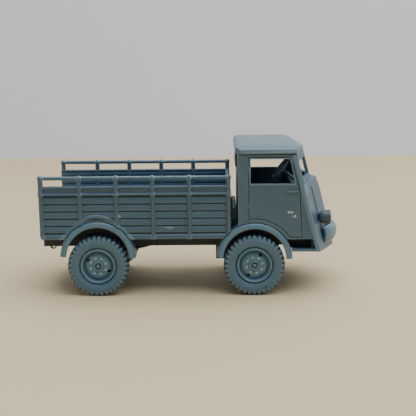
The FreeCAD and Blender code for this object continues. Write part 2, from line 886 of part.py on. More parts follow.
# Mudguards: a deep lip, a shell over the tyre and a wall on the inner side.
def mudguard(end):
    name = f"mudguard_{end}"
    centre = (GUARD_X[end], GUARD_Z[end])
    base = {"front": "cab_floor_z", "rear": "bed_bottom"}[end]
    foot = f"{end}_guard_foot_deg"
    sweep = f"{end}_guard_sweep_deg"

    def hoop(label, inner_radius, low, high):
        outer = arc_points(centre, "guard_outer", foot, sweep, GUARD_STEPS)
        inner = arc_points(centre, inner_radius, foot, sweep, GUARD_STEPS)
        return plate(f"{name}_{label}", "XZ", [outer + inner[::-1]], low, high)

    lip_in = "0 - half_width + guard_lip"
    wall_out = f"0 - {GUARD_FACE}"
    start = f"(asin(({base} - {centre[1]}) / guard_outer) / 1 deg)"
    wall = arc_points(centre, "guard_outer", start, f"(180 - 2 * {start})", GUARD_STEPS - 5)
    pieces = [
        hoop("lip", "guard_inner", "0 - half_width", lip_in),
        hoop("shell", "(guard_outer - guard_shell)", lip_in, wall_out),
        plate(f"{name}_wall", "XZ", [wall], wall_out, f"{wall_out} + guard_shell"),
    ]
    return fused(name, pieces)


for end in ("front", "rear"):
    keep_pair(f"mudguard_{end}", mudguard(end))


# Load bed: a floor on bearers, planked sides with posts and a pipe rail.
def bed_floor():
    edge = f"({PANEL_IN} - seam)"
    length = (BED_REAR, BED_FRONT)
    pieces = [block("floor_plate", length, (minus(edge), edge), ("bed_bottom", FLOOR_BASE))]
    pitch = f"(2 * {BOARD_EDGE} / floor_board_count)"
    for index in range(int(SIZES["floor_board_count"])):
        low = f"(0 - {BOARD_EDGE} + {index} * {pitch})"
        pieces.append(
            block(
                f"floor_board_{index}",
                (f"{BED_REAR} + board_end_inset", f"{BED_FRONT} - board_end_inset"),
                (f"{low} + floor_board_gap / 2", f"{low} + {pitch} - floor_board_gap / 2"),
                (f"{FLOOR_BASE} - overlap", FLOOR_TOP),
            )
        )
    run = "(bed_length - 2 * bearer_end_inset - bearer_width)"
    for index in range(6):
        x = f"({BED_REAR} + bearer_end_inset + {index} * {run} / 5)"
        pieces.append(
            block(
                f"bearer_{index}",
                (x, f"{x} + bearer_width"),
                ("0 - rail_centre - bearer_overhang", "rail_centre + bearer_overhang"),
                (f"{FRAME_TOP} + seam", "bed_bottom + overlap"),
            )
        )
    whole = fused("bed_floor_whole", pieces)
    return cut("bed_floor_cut", whole, guard_holes("floor_hole", AXLES))


keep("bed_floor", bed_floor())


def planked(outer, inner, way, bottom, planks, top):
    """The section of a planked wall: lapped boards outside, flat inside.
    way is 1 where outwards is the positive direction."""

    def out(relief):
        return f"{outer} + {way} * ({relief})"

    def ins(relief):
        return f"{inner} + {way} * ({relief})"

    points = [
        (out("sill_relief - sill_round"), bottom),
        (out("sill_relief"), f"{bottom} + sill_round"),
        (out("sill_relief"), f"{SILL_TOP} - sill_round"),
        (out("sill_relief - sill_round"), SILL_TOP),
        (out("0 - plank_relief"), SILL_TOP),
    ]
    feet = [f"({FIRST_PLANK} + {index} * {PLANK_PITCH})" for index in range(planks + 1)]
    for foot, following in zip(feet, feet[1:]):
        points.append((out("0 - plank_relief"), foot))
        points.append((out("plank_bulge"), f"{foot} + plank_lap"))
        points.append((out("0"), following))
    points.append((out("0 - plank_relief"), feet[-1]))
    if top == "panel_top":
        points.append((out("0 - plank_relief"), "moulding_bottom"))
        points.append((out("sill_relief - moulding_round"), "moulding_bottom"))
        points.append((out("sill_relief"), "moulding_bottom + moulding_round"))
        points.append((out("sill_relief"), "moulding_bottom + moulding_height - moulding_round"))
        points.append((out("sill_relief - moulding_round"), "moulding_bottom + moulding_height"))
        points.append((out("0"), "moulding_bottom + moulding_height"))
    else:
        points.append((out("0"), feet[-1] + " + plank_lap"))
    points.append((out("0"), top))
    points.append((ins("0"), top))
    points.append((ins("0"), bottom))
    return points


POSTS = [f"({BED_REAR} + post_radius)"]
POSTS += [f"({BED_REAR} + bed_length / 2 + {k - 1.5} * post_pitch)" for k in range(4)]
POSTS += [f"({BED_FRONT} - post_radius)"]


def bed_side():
    length = (BED_REAR, BED_FRONT)
    planks = int(SIZES["plank_count"])
    outline = planked(minus(PANEL_OUT), minus(PANEL_IN), -1, "bed_bottom", planks, "panel_top")
    arch = guard_hole("bed_arch", "rear")
    notch = guard_hole("bed_notch", "front")
    panel = plate("side_planks", "YZ", [outline], *length)
    pieces = [
        cut("arched_planks", panel, [arch, notch]),
        cut("arched_strip", arch_strip(), [arch]),
    ]
    y = minus(PANEL_OUT)
    for index, x in enumerate(POSTS):
        post = plate(f"post_{index}", "XY", [post_outline(x)], "bed_bottom", "rail_tube_z")
        over_wheel = {1: [arch], 2: [arch], 5: [notch]}.get(index, [])
        pieces.append(cut(f"arched_post_{index}", post, over_wheel))
        start = (x, y, "rail_tube_z - post_cap_height / 2")
        pieces.append(bar(f"post_cap_{index}", "z", start, "post_cap_height", "post_cap_radius"))
        if 0 < index < len(POSTS) - 1:
            inner = block(
                f"inner_post_{index}",
                (f"{x} - inner_post_half", f"{x} + inner_post_half"),
                (minus(f"{PANEL_IN} + overlap"), minus(f"{PANEL_IN} - inner_post_depth")),
                (f"{FLOOR_BASE} + seam", "panel_top"),
            )
            pieces.append(cut(f"arched_inner_post_{index}", inner, over_wheel))
    start = (POSTS[0], y, "rail_tube_z")
    pieces.append(bar("rail_tube", "x", start, span(POSTS[0], POSTS[-1]), "rail_tube_radius"))
    whole = fused("bed_side_whole", pieces)
    return cut("bed_side_cut", whole, [bed_corner()])


def post_outline(x):
    """A post in plan: rounded outside, and let into the planks behind."""
    face = f"0 - {PANEL_OUT}"
    rear = f"{face} + post_depth"
    return [
        (f"{x} - post_radius", rear),
        (f"{x} - post_radius", f"{face} - post_flat_share * post_radius"),
        (f"{x} - post_flat_share * post_radius", f"{face} - post_radius"),
        (f"{x} + post_flat_share * post_radius", f"{face} - post_radius"),
        (f"{x} + post_radius", f"{face} - post_flat_share * post_radius"),
        (f"{x} + post_radius", rear),
    ]


def bed_corner():
    """What is taken off to round the lower rear corner of a side."""
    high = "(bed_bottom + bed_corner_radius)"
    ahead = f"({BED_REAR} + bed_corner_radius)"
    outline = [
        (f"{BED_REAR} - 1", high),
        (f"{BED_REAR} - 1", "bed_bottom - 1"),
        (ahead, "bed_bottom - 1"),
    ]
    outline += arc_points((ahead, high), "bed_corner_radius", "270", "(0 - 90)", CORNER_STEPS)
    return plate("bed_corner", "XZ", [outline], "0 - half_width - 1", f"0 - {PANEL_IN} + 1")


def arch_strip():
    """A moulding over the wheel: an arc that runs out in two straight feet."""
    middle = REAR_AXLE
    centre_z = "(arch_strip_top - arch_strip_radius)"
    knee_x = "(arch_strip_radius * sin(arch_knee_deg))"
    knee_z = f"({centre_z} + arch_strip_radius * cos(arch_knee_deg))"
    foot_x = f"({knee_x} + ({knee_z} - bed_bottom) / tan(arch_knee_deg))"
    outline = [(f"{middle} - {foot_x}", "bed_bottom"), (f"{middle} + {foot_x}", "bed_bottom")]
    first = "(90 - arch_knee_deg)"
    sweep = "(2 * arch_knee_deg)"
    outline += arc_points((middle, centre_z), "arch_strip_radius", first, sweep, STRIP_STEPS)
    near = minus(f"{PANEL_OUT} + arch_strip_relief")
    return plate("arch_strip", "XZ", [outline], near, minus(f"{PANEL_OUT} - 2 * overlap"))


keep_pair("bed_side", bed_side())


def bed_end(name, outer, way, planks, top):
    inner = f"{outer} - {way} * panel_wall"
    edge = f"({PANEL_IN} - seam)"
    outline = planked(outer, inner, way, f"{FLOOR_BASE} + seam", int(SIZES[planks]), top)
    return plate(name, "XZ", [outline], minus(edge), edge)


TAILGATE_TOP = f"({FIRST_PLANK} + tailgate_planks * {PLANK_PITCH} + tailgate_cap)"
headboard = bed_end("headboard_planks", f"{BED_FRONT} - bed_end_inset", 1, "plank_count", "panel_top")
keep("bed_headboard", cut("headboard_cut", headboard, guard_holes("headboard_hole", ["front"])))
tailgate = bed_end("tailgate_board", f"{BED_REAR} + bed_end_inset", -1, "tailgate_planks", TAILGATE_TOP)
keep("bed_tailgate", tailgate)


# Rounded stowage box on the chassis between the bed and the cab.
def stowage_box():
    half = "box_length / 2"
    middle = f"({BED_FRONT} + bed_gap / 2)"
    outline = [
        (f"{middle} - {half}", f"{FRAME_TOP} + seam"),
        (f"{middle} + {half}", f"{FRAME_TOP} + seam"),
        (f"{middle} + {half}", f"box_top - {half}"),
        (f"{middle} - {half}", f"box_top - {half}", f"{half} * 1.001", 1),
    ]
    return plate("stowage", "XZ", [outline], "0 - box_half_width", "box_half_width")


keep("stowage_box", stowage_box())


# Cab sides: one wall with the window and step well cut, and a corner strip.
def cab_side():
    wall = [
        (CAB_REAR, "step_bottom"),
        (corner("step_bottom"), "step_bottom"),
        (corner("roof_bottom - seam"), "roof_bottom - seam"),
        (CAB_REAR, "roof_bottom - seam"),
    ]
    window_rear = f"{CAB_REAR} + window_rear_inset"
    window_front = "front_axle_x + window_front_ahead"
    window = [
        (window_rear, "window_sill"),
        (window_front, "window_sill"),
        (f"{window_front} - window_front_slope * (window_top - window_sill)", "window_top"),
        (window_rear, "window_top"),
    ]
    well_low = "step_bottom + step_plate"
    well_rear = "front_axle_x + step_well_ahead"
    well = [
        (well_rear, well_low),
        (f"{corner(well_low)} - strip_width", well_low),
        (f"{corner('step_top')} - strip_width", "step_top"),
        (well_rear, "step_top"),
    ]
    outer = f"0 - {CAB_HALF}"
    panel = plate("cab_side_wall", "XZ", [wall, window, well], outer, f"{outer} + cab_wall")
    ring = [door_outline("0"), door_outline("door_line_width")]
    line = plate("door_line", "XZ", ring, f"{outer} - 1", f"{outer} + door_line_depth")
    pieces = [cut("lined_wall", panel, [line]), corner_strip()]
    hinge_x = f"({DOOR_REAR} + door_line_width / 2)"
    for index, z in enumerate(("hinge_low", "hinge_high")):
        start = (hinge_x, outer, z)
        pieces.append(bar(f"hinge_{index}", "z", start, "hinge_height", "hinge_radius"))
    handle_rear = "(front_axle_x + handle_rear_ahead)"
    pieces.append(
        block(
            "door_handle",
            (handle_rear, f"{handle_rear} + handle_length"),
            (f"{outer} - handle_relief", f"{outer} + overlap"),
            ("handle_z - handle_height / 2", "handle_z + handle_height / 2"),
        )
    )
    whole = fused("cab_side_whole", pieces)
    return cut("cab_side_cut", whole, [guard_hole("cab_arch", "front")])


DOOR_REAR = f"({CAB_REAR} + door_rear_inset)"


def door_outline(inset):
    """The door's edge, drawn in by an inset: it rounds the mudguard below."""
    rear = f"({DOOR_REAR} + {inset})"
    low = f"(door_bottom + {inset})"
    top = f"(roof_bottom - door_top_gap - {inset})"
    radius = f"(guard_outer + door_guard_gap + {inset})"
    x = GUARD_X["front"]
    z = GUARD_Z["front"]
    ahead = f"({x} + sqrt({radius}^2 - ({low} - {z})^2))"
    above = f"({z} + sqrt({radius}^2 - ({rear} - {x})^2))"
    edge = f"strip_width - seam + {inset}"
    return [
        (rear, top),
        (rear, above),
        (ahead, low, radius, -1),
        (f"front_axle_x + door_front_ahead - {inset}", low),
        (f"{corner('door_break_z')} - ({edge})", "door_break_z"),
        (f"{corner(top)} - ({edge})", top),
    ]


def corner_strip():
    """A rounded strip that covers the raked front corner from roof to step."""
    top = "(roof_bottom - strip_top_drop)"
    rear = f"({corner(top)} - strip_width)"
    front = corner(top)
    low = f"0 - {CAB_HALF} + overlap"
    shoulder = f"0 - half_width + strip_round / 2"
    outline = [
        (rear, low),
        (rear, shoulder),
        (f"{rear} + strip_round", "0 - half_width"),
        (f"{front} - strip_round", "0 - half_width"),
        (front, shoulder),
        (front, low),
    ]
    return raked("corner_strip", outline, top, "step_bottom")


keep_pair("cab_side", cab_side())

CAB_INNER = f"({SCREEN_HALF})"


def cab_back_wall():
    wall_front = f"{CAB_REAR} + cab_wall"
    low = f"{CAB_FLOOR_TOP} + seam"
    y = (minus(CAB_INNER), CAB_INNER)
    panel = block("back_panel", (CAB_REAR, wall_front), y, (low, "roof_bottom - seam"))
    top = "rear_window_bottom + rear_window_height"
    frame_half = "rear_window_half + rear_frame_width"
    frame = block(
        "rear_window_frame",
        (f"{CAB_REAR} - rear_frame_relief", wall_front),
        (minus(frame_half), frame_half),
        ("rear_window_bottom - rear_frame_width", f"{top} + rear_frame_width"),
    )
    opening = block(
        "rear_window_opening",
        (f"{CAB_REAR} - 2", f"{wall_front} + 1"),
        ("0 - rear_window_half", "rear_window_half"),
        ("rear_window_bottom", top),
    )
    whole = fused("back_wall_whole", [panel, frame])
    return cut("back_wall_cut", whole, [opening] + guard_holes("back_hole", ["front"]))


keep("cab_back_wall", cab_back_wall())


def cab_floor():
    rear = f"{CAB_REAR}"
    front = f"({corner('cab_floor_z')} - 1)"
    y = (minus(CAB_INNER), CAB_INNER)
    pieces = [block("floor_plate", (rear, front), y, ("cab_floor_z", CAB_FLOOR_TOP))]
    starts = (f"({rear} + cab_bearer_rear_inset)", f"({front} - cab_bearer_front_inset)")
    for index, x in enumerate(starts):
        pieces.append(
            block(
                f"cab_bearer_{index}",
                (x, f"{x} + bearer_width"),
                ("0 - rail_centre - bearer_overhang", "rail_centre + bearer_overhang"),
                (f"{FRAME_TOP} + seam", "cab_floor_z + overlap"),
            )
        )
    engine_opening = block(
        "engine_opening",
        (f"{rear} + cab_wall + cover_opening_set", f"{rear} + cab_wall + cover_length - cover_wall"),
        ("0 - cover_half_width + cover_wall", "cover_half_width - cover_wall"),
        ("cab_floor_z - 3", "cab_floor_z + 3"),
    )
    whole = fused("cab_floor_whole", pieces)
    return cut("cab_floor_cut", whole, [engine_opening] + guard_holes("cab_floor_hole", ["front"]))


keep("cab_floor", cab_floor())


# Roof: a crowned slab with a V front that slopes down to a peak.
def cab_roof():
    half = "(half_width)"
    rear = f"({CAB_REAR} - roof_rear_overhang)"
    front = "(front_axle_x + roof_front_ahead)"
    peak = f"({front} + roof_peak_depth)"
    crown_top = f"({ROOF_SIDE_TOP} + roof_crown)"
    shoulder = f"({half} - roof_edge_radius)"
    crown_radius = f"({shoulder}^2 + roof_crown^2) / (2 * roof_crown)"
    section = [
        (half, "roof_bottom"),
        (half, f"{ROOF_SIDE_TOP} - roof_edge_radius"),
        (shoulder, ROOF_SIDE_TOP, "roof_edge_radius", 1),
        (minus(shoulder), ROOF_SIDE_TOP, crown_radius, 1),
        (minus(half), f"{ROOF_SIDE_TOP} - roof_edge_radius", "roof_edge_radius", 1),
        (minus(half), "roof_bottom"),
    ]
    slope_start = "(front_axle_x + roof_slope_start)"
    profile = [
        (rear, "roof_bottom"),
        (peak, "roof_bottom"),
        (peak, f"{crown_top} - roof_peak_drop"),
        (slope_start, crown_top),
        (f"{rear} + roof_rear_radius", crown_top),
        (rear, f"{crown_top} - roof_rear_radius", "roof_rear_radius", 1),
    ]
    plan = [
        (front, minus(half)),
        (peak, "0"),
        (front, half),
        (f"{rear} + roof_rear_radius", half),
        (rear, f"{half} - roof_rear_radius", "roof_rear_radius", 1),
        (rear, f"{minus(half)} + roof_rear_radius"),
        (f"{rear} + roof_rear_radius", minus(half), "roof_rear_radius", 1),
    ]
    slab = common(
        "roof_slab",
        [
            plate("roof_section", "YZ", [section], f"{rear} - 1", f"{peak} + 1"),
            plate("roof_profile", "XZ", [profile], f"{minus(half)} - 1", f"{half} + 1"),
            plate("roof_plan", "XY", [plan], "roof_bottom", f"{crown_top} + 1"),
        ],
    )
    hollow = block(
        "roof_hollow",
        (f"{CAB_REAR} + cab_wall", f"{front} - roof_front_wall"),
        (minus(f"{CAB_INNER} - roof_hollow_inset"), f"{CAB_INNER} - roof_hollow_inset"),
        ("roof_bottom - 1", f"{ROOF_SIDE_TOP} - roof_wall"),
    )
    return cut("roof_cut", slab, [hollow])


keep("cab_roof", cab_roof())


def v_band(rear, depth, half, wall):
    """A V in plan with its point forward, of one thickness."""
    thick = f"{wall} * sqrt(1 + ({depth} / ({half}))^2)"
    return [
        (rear, minus(half)),
        (f"{rear} + {depth}", "0"),
        (rear, half),
        (f"{rear} - {thick}", half),
        (f"{rear} + {depth} - {thick}", "0"),
        (f"{rear} - {thick}", minus(half)),
    ]


SHELF_TOP = "(window_sill - bonnet_drop)"
SCREEN_BOTTOM = f"({SHELF_TOP} + seam)"


# Windscreen: a V frame with two open panes and a centre pillar.
def windscreen():
    half = SCREEN_HALF
    rear = f"({corner('roof_bottom - seam')} + screen_gap)"
    band = v_band(rear, "screen_depth", half, "screen_wall")
    frame = raked("screen_band", band, "roof_bottom - seam", SCREEN_BOTTOM)
    panes = []
    low = "screen_centre_post / 2"
    high = f"{half} - screen_post"
    for side, sign in SIDES.items():
        near, far = {-1: (minus(high), minus(low)), 1: (low, high)}[sign]
        panes.append(
            block(
                f"pane_{side}",
                ("front_axle_x + 5", "front_axle_x + 20"),
                (near, far),
                ("window_sill + screen_base_height", "screen_header_bottom"),
            )
        )
    return cut("screen_cut", frame, panes)


keep("windscreen_frame", windscreen())


def nose_plan(ahead, top):
    """The nose's outer corner, point and corner at a height, moved forward."""
    rear = f"({corner(top)} + seam + {ahead})"
    return [
        (rear, f"0 - {CAB_HALF}"),
        (f"{rear} + nose_depth", "0"),
        (rear, CAB_HALF),
    ]


# Nose: a raked V shield with a bonnet shelf and a raised grille panel.
def nose_shield():
    half = SCREEN_HALF
    rear = f"({corner(SHELF_TOP)} + seam)"
    slope = f"(nose_depth / {CAB_HALF})"
    thick = f"(nose_wall * sqrt(1 + {slope}^2))"
    inner = f"{rear} + {slope} * ({CAB_HALF} - {half}) - {thick}"
    shell = nose_plan("0", SHELF_TOP) + [
        (rear, half),
        (inner, half),
        (f"{rear} + nose_depth - {thick}", "0"),
        (inner, minus(half)),
        (rear, minus(half)),
    ]
    plates = raked("nose_plates", shell, SHELF_TOP, "nose_centre_bottom - 1")
    grille = raked(
        "grille_band",
        v_band(
            f"{rear} + grille_relief",
            "nose_depth",
            CAB_HALF,
            "(grille_relief + overlap)",
        ),
        "grille_top",
        "grille_bottom",
    )
    place(grille.Base, f"rake * ({SHELF_TOP} - grille_top)", "0", "grille_top")
    front = f"({rear} + 14)"
    grille_limit = block(
        "grille_limit",
        ("front_axle_x", front),
        ("0 - grille_half_width", "grille_half_width"),
        ("grille_bottom", "grille_top"),
    )
    trim = plate(
        "nose_trim",
        "YZ",
        [
            [
                ("0 - half_width", "nose_corner_bottom"),
                ("0", "nose_centre_bottom"),
                ("half_width", "nose_corner_bottom"),
                ("half_width", SHELF_TOP),
                ("0 - half_width", SHELF_TOP),
            ]
        ],
        "front_axle_x",
        front,
    )
    screen_rear = f"({corner(SHELF_TOP)} + screen_gap)"
    screen_thick = f"(screen_wall * sqrt(1 + (screen_depth / ({half}))^2))"
    shelf = plate(
        "bonnet_shelf",
        "XY",
        [
            [
                (rear, minus(half)),
                (f"{rear} + nose_depth - shelf_point_set", "0"),
                (rear, half),
                (f"{screen_rear} - {screen_thick}", half),
                (f"{screen_rear} + screen_depth - {screen_thick}", "0"),
                (f"{screen_rear} - {screen_thick}", minus(half)),
            ]
        ],
        f"{SHELF_TOP} - shelf_thickness",
        SHELF_TOP,
    )
    shield = common("nose_trimmed", [plates, trim])
    panel = common("grille_panel", [grille, grille_limit])
    return fused("nose_whole", [shield, panel, shelf])


keep("nose_shield", nose_shield())


# Headlights: a bowl that grows forward in rings to a rim with a sunk lens.
def headlight():
    x = "(front_axle_x + lamp_front_ahead - lamp_length)"
    rim_share = 0.85
    lens_share = 0.94
    rings = ((0.42, 0.0), (0.75, 0.1), (0.92, 0.32), (0.95, rim_share))
    sections = []
    for index, (width, ahead) in enumerate(rings):
        ring = doc.addObject("Part::RegularPolygon", f"lamp_ring_{index}")
        ring.Polygon = LAMP_SIDES
        ring.Placement = FreeCAD.Placement(Vector(), TURNS["x"])
        place(ring, f"{x} + {ahead} * lamp_length", f"0 - {LAMP_Y}", "lamp_z")
        ring.setExpression("Circumradius", bound(f"{width} * lamp_radius"))
        sections.append(ring)
    bowl = doc.addObject("Part::Loft", "lamp_bowl")
    bowl.Sections = sections
    bowl.Solid = True
    bowl.Ruled = True

    def along(label, low, high, radius):
        start = (f"{x} + {low} * lamp_length", f"0 - {LAMP_Y}", "lamp_z")
        return bar(label, "x", start, f"({high} - {low}) * lamp_length", radius, LAMP_SIDES)

    rim = along("lamp_rim_ring", rim_share, 1.0, "lamp_radius")
    lens = along("lamp_lens_seat", lens_share, 1.2, "lamp_radius - lamp_rim")
    seat = raked("lamp_seat", nose_plan("grille_relief + seam", SHELF_TOP), SHELF_TOP, "5")
    return cut("lamp_cut", fused("lamp_whole", [bowl, rim]), [lens, seat])


keep_pair("headlight", headlight())


# Front bumper: bowed layers that stand out most in the middle, hollow behind.
def front_bumper():
    radius = f"(({BUMPER_HALF}^2 + bumper_sweep^2) / (2 * bumper_sweep))"
    half_sweep = f"(asin({BUMPER_HALF} / {radius}) / 1 deg)"
    centre = (f"(front_axle_x + bumper_front_ahead - {radius})", "0")
    # Each layer: its limits in height, then how far its rear and front are set back.
    layers = (
        (0.0, 0.14, 1.0, 0.38),
        (0.14, 0.36, 0.85, 0.08),
        (0.36, 0.64, 0.47, 0.0),
        (0.64, 0.86, 0.85, 0.08),
        (0.86, 1.0, 1.0, 0.38),
    )
    pieces = []
    for index, (low, high, rear, front) in enumerate(layers):
        outer = f"({radius} - {front} * bumper_bulge)"
        inner = f"({radius} - {rear} * bumper_bulge)"
        edges = [
            arc_points(centre, edge, minus(half_sweep), f"(2 * {half_sweep})", BUMPER_STEPS)
            for edge in (outer, inner)
        ]
        outline = edges[0] + edges[1][::-1]
        limits = [f"bumper_bottom + {share} * bumper_height" for share in (low, high)]
        pieces.append(plate(f"bumper_layer_{index}", "XY", [outline], *limits))
    seat = raked("bumper_seat", nose_plan("grille_relief + seam", SHELF_TOP), SHELF_TOP, "5")
    return cut("bumper_cut", fused("bumper_whole", pieces), [seat])


keep("front_bumper", front_bumper())


# Inside the cab: dashboard, steering wheel, seats and engine cover.
DASH_TOP = f"({SHELF_TOP} - dash_drop)"
keep(
    "dashboard",
    block(
        "dash",
        (f"{corner(SHELF_TOP)} - dash_setback", f"{corner(SHELF_TOP)} - dash_setback + dash_wall"),
        (minus(CAB_INNER), CAB_INNER),
        (f"{DASH_TOP} - dash_height", DASH_TOP),
    ),
)


def steering_wheel():
    tilt = value("steering_tilt_deg")
    rings = [
        arc_points(("0", "0"), f"(wheel_rim_radius {sign} wheel_rim_tube)", "0", "360", RING_SIDES)[1:]
        for sign in "+-"
    ]
    half = "wheel_rim_half_height"
    ring = plate("steering_ring", "XY", rings, minus(half), half)
    start = ("0", "0", minus("column_length"))
    pieces = [
        ring,
        bar("steering_column", "z", start, "column_length", "column_radius"),
        bar("steering_hub", "z", ("0", "0", "0 - wheel_hub_drop"), "wheel_hub_length", "hub_radius"),
    ]
    for index in range(3):
        spoke = block(
            f"steering_spoke_{index}",
            ("0", "wheel_rim_radius"),
            ("0 - spoke_width / 2", "spoke_width / 2"),
            ("0 - spoke_thickness / 2", "spoke_thickness / 2"),
        )
        turned_spoke = doc.addObject("Part::Compound", f"spoke_{index}_placed")
        turned_spoke.Links = [spoke]
        turn = Rotation(Vector(0, 0, 1), 120 * index + 180)
        turned_spoke.Placement = FreeCAD.Placement(Vector(), turn)
        pieces.append(turned_spoke)
    whole = fused("steering_whole", pieces)
    # The column points forwards and down, so the wheel leans back by the rest.
    whole.Placement = FreeCAD.Placement(Vector(), Rotation(Vector(0, 1, 0), -(90 - tilt)))
    place(whole, "front_axle_x + steering_x_ahead", f"0 - {STEERING_Y}", "steering_z")
    return whole


keep("steering_wheel", steering_wheel())


def seat():
    rear = f"({CAB_REAR} + cab_wall + seat_rear_gap)"
    front = f"({rear} + seat_depth)"
    low = f"0 - {STEERING_Y} - seat_width / 2"
    high = f"0 - {STEERING_Y} + seat_width / 2"
    outline = [
        (rear, "seat_bottom"),
        (front, "seat_bottom"),
        (front, "seat_bottom + cushion_height - seat_round"),
        (f"{front} - seat_round", "seat_bottom + cushion_height", "seat_round", 1),
        (f"{rear} + seat_back_wall", "seat_bottom + cushion_height"),
        (f"{rear} + seat_back_wall", "seat_back_top - seat_round"),
        (f"{rear} + seat_back_wall - seat_round", "seat_back_top", "seat_round", 1),
        (rear, "seat_back_top"),
    ]
    cushion = plate("seat_cushion", "XZ", [outline], low, high)
    base = block(
        "seat_base",
        (rear, f"{front} - seat_base_front_set"),
        (minus(f"{GUARD_FACE} - guard_shell - seat_base_inset"), f"{high} - seat_base_inset"),
        (f"{CAB_FLOOR_TOP} + seam", "seat_bottom + overlap"),
    )
    return fused("seat", [cushion, base])


keep_pair("seat", seat())


def engine_cover():
    rear = f"({CAB_REAR} + cab_wall + seam)"
    front = f"({rear} + cover_length)"
    half = "cover_half_width"
    low = f"{CAB_FLOOR_TOP} + seam"
    shell = block("cover_shell", (rear, front), (minus(half), half), (low, "cover_top"))
    hollow = block(
        "cover_hollow",
        (f"{rear} - 1", f"{front} - cover_wall"),
        (f"{minus(half)} + cover_wall", f"{half} - cover_wall"),
        (f"{low} - 1", "cover_top - cover_wall"),
    )
    return cut("cover", shell, [hollow])


keep("engine_cover", engine_cover())


# Steps: a tray behind the sill strip, with a wall on its inner side.
def step():
    rear = f"({GUARD_X['front']} + guard_outer + seam)"
    front = f"({corner('step_top')} - step_front_set)"
    outer = minus(CAB_INNER)
    inner = f"{outer} + step_depth"
    plate_top = "step_bottom + step_plate"
    tray = block("step_tray", (rear, front), (outer, inner), ("step_bottom", plate_top))
    height = ("step_bottom", "cab_floor_z - seam")
    wall = block("step_wall", (rear, front), (f"{inner} - step_wall", inner), height)
    end = block("step_end", (f"{front} - step_wall", front), (outer, inner), height)
    return fused("step", [tray, wall, end])


keep_pair("step", step())

doc.recompute()

failed = [
    item.Name
    for item in doc.Objects
    if "Invalid" in item.State or "Error" in item.State
]
if failed:
    raise RuntimeError("not computed: " + ", ".join(failed))
for name, piece in nodes.items():
    if piece.Shape.isNull() or not piece.Shape.isValid() or piece.Shape.Volume <= 0:
        raise RuntimeError("bad shape: " + name)

os.makedirs("parts", exist_ok=True)
for name, piece in nodes.items():
    piece.Shape.exportStep(f"parts/{name}.step")
    box = piece.Shape.BoundBox
    limits = [box.XMin, box.XMax, box.YMin, box.YMax, box.ZMin, box.ZMax]
    solids = len(piece.Shape.Solids)
    print(name, solids, round(piece.Shape.Volume, 2), [round(limit, 2) for limit in limits])
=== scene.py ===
# %% [markdown]
# # A plastic scale model of a cargo truck
# The real object is a small moulded kit, 68 mm long, all in one grey-green
# polystyrene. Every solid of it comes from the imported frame. This script makes
# the pieces that the eye meets first again, with the detail that a mould gives,
# puts a finish on every piece and lights the result on a plain pale floor.

# %% Load the frame
import json
import math

import bmesh
import bpy
from mathutils import Matrix, Vector


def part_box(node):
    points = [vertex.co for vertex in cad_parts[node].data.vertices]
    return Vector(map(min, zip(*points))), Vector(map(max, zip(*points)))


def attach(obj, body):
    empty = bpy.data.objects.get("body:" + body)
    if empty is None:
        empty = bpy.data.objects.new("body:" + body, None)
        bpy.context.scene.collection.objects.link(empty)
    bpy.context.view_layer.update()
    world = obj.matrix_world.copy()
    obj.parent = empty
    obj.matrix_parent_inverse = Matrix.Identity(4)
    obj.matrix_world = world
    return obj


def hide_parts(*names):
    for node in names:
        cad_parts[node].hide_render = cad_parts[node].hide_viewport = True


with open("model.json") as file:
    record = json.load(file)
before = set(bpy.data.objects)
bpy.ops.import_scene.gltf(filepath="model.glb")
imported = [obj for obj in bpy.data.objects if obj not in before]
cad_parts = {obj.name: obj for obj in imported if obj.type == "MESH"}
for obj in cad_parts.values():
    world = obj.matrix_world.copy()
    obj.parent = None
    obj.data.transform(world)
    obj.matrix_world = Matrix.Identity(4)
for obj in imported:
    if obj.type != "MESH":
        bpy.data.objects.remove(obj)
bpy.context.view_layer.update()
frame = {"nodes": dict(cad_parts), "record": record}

MM = 0.001

# %% [markdown]
# ## The camera
# The photograph was taken close by with a long lens, a little above the roof.
# Its distance, height and turn were solved from the wheels and the bed, so the
# camera stands where the real one stood and needs no shift. It is made first,
# because every later choice is judged through it.

# %% Camera
IMAGE_WIDTH = 416
FOCAL_PIXELS = 812.17
SENSOR_WIDTH = 36.0
CAMERA_PLACE = Vector((7.13, -188.09, 52.60)) * MM
PITCH = math.radians(10.634)
YAW = math.radians(0.985)
ROLL = math.radians(-0.623)
NEAREST = 5 * MM
FARTHEST = 20.0


def make_camera():
    flat = math.cos(PITCH)
    forward = Vector((-math.sin(YAW) * flat, math.cos(YAW) * flat, -math.sin(PITCH)))
    level = forward.cross(Vector((0, 0, 1))).normalized()
    upright = level.cross(forward)
    right = level * math.cos(ROLL) + upright * math.sin(ROLL)
    up = upright * math.cos(ROLL) - level * math.sin(ROLL)
    data = bpy.data.cameras.new("photo_camera")
    data.sensor_width = SENSOR_WIDTH
    data.lens = FOCAL_PIXELS * SENSOR_WIDTH / IMAGE_WIDTH
    data.clip_start = NEAREST
    data.clip_end = FARTHEST
    camera = bpy.data.objects.new("photo_camera", data)
    bpy.context.scene.collection.objects.link(camera)
    turn = Matrix((right, up, -forward)).transposed().to_4x4()
    camera.matrix_world = Matrix.Translation(CAMERA_PLACE) @ turn
    bpy.context.scene.camera = camera
    print("lens:", round(data.lens, 2), "mm")


make_camera()

# %% [markdown]
# ## Two helpers for materials
# Colours are written as sRGB hex values, as a paint chart gives them. Blender
# mixes light in linear values, so one function turns them over. A second one
# adds a node with its settings and its links, which keeps a material's cell as
# short as its idea.


# %% Helpers for materials
def linear(hex_colour):
    """The linear colour of an sRGB hex value such as 687F8B."""
    parts = [int(hex_colour[i : i + 2], 16) / 255 for i in (0, 2, 4)]
    return [c / 12.92 if c <= 0.04045 else ((c + 0.055) / 1.055) ** 2.4 for c in parts] + [1.0]


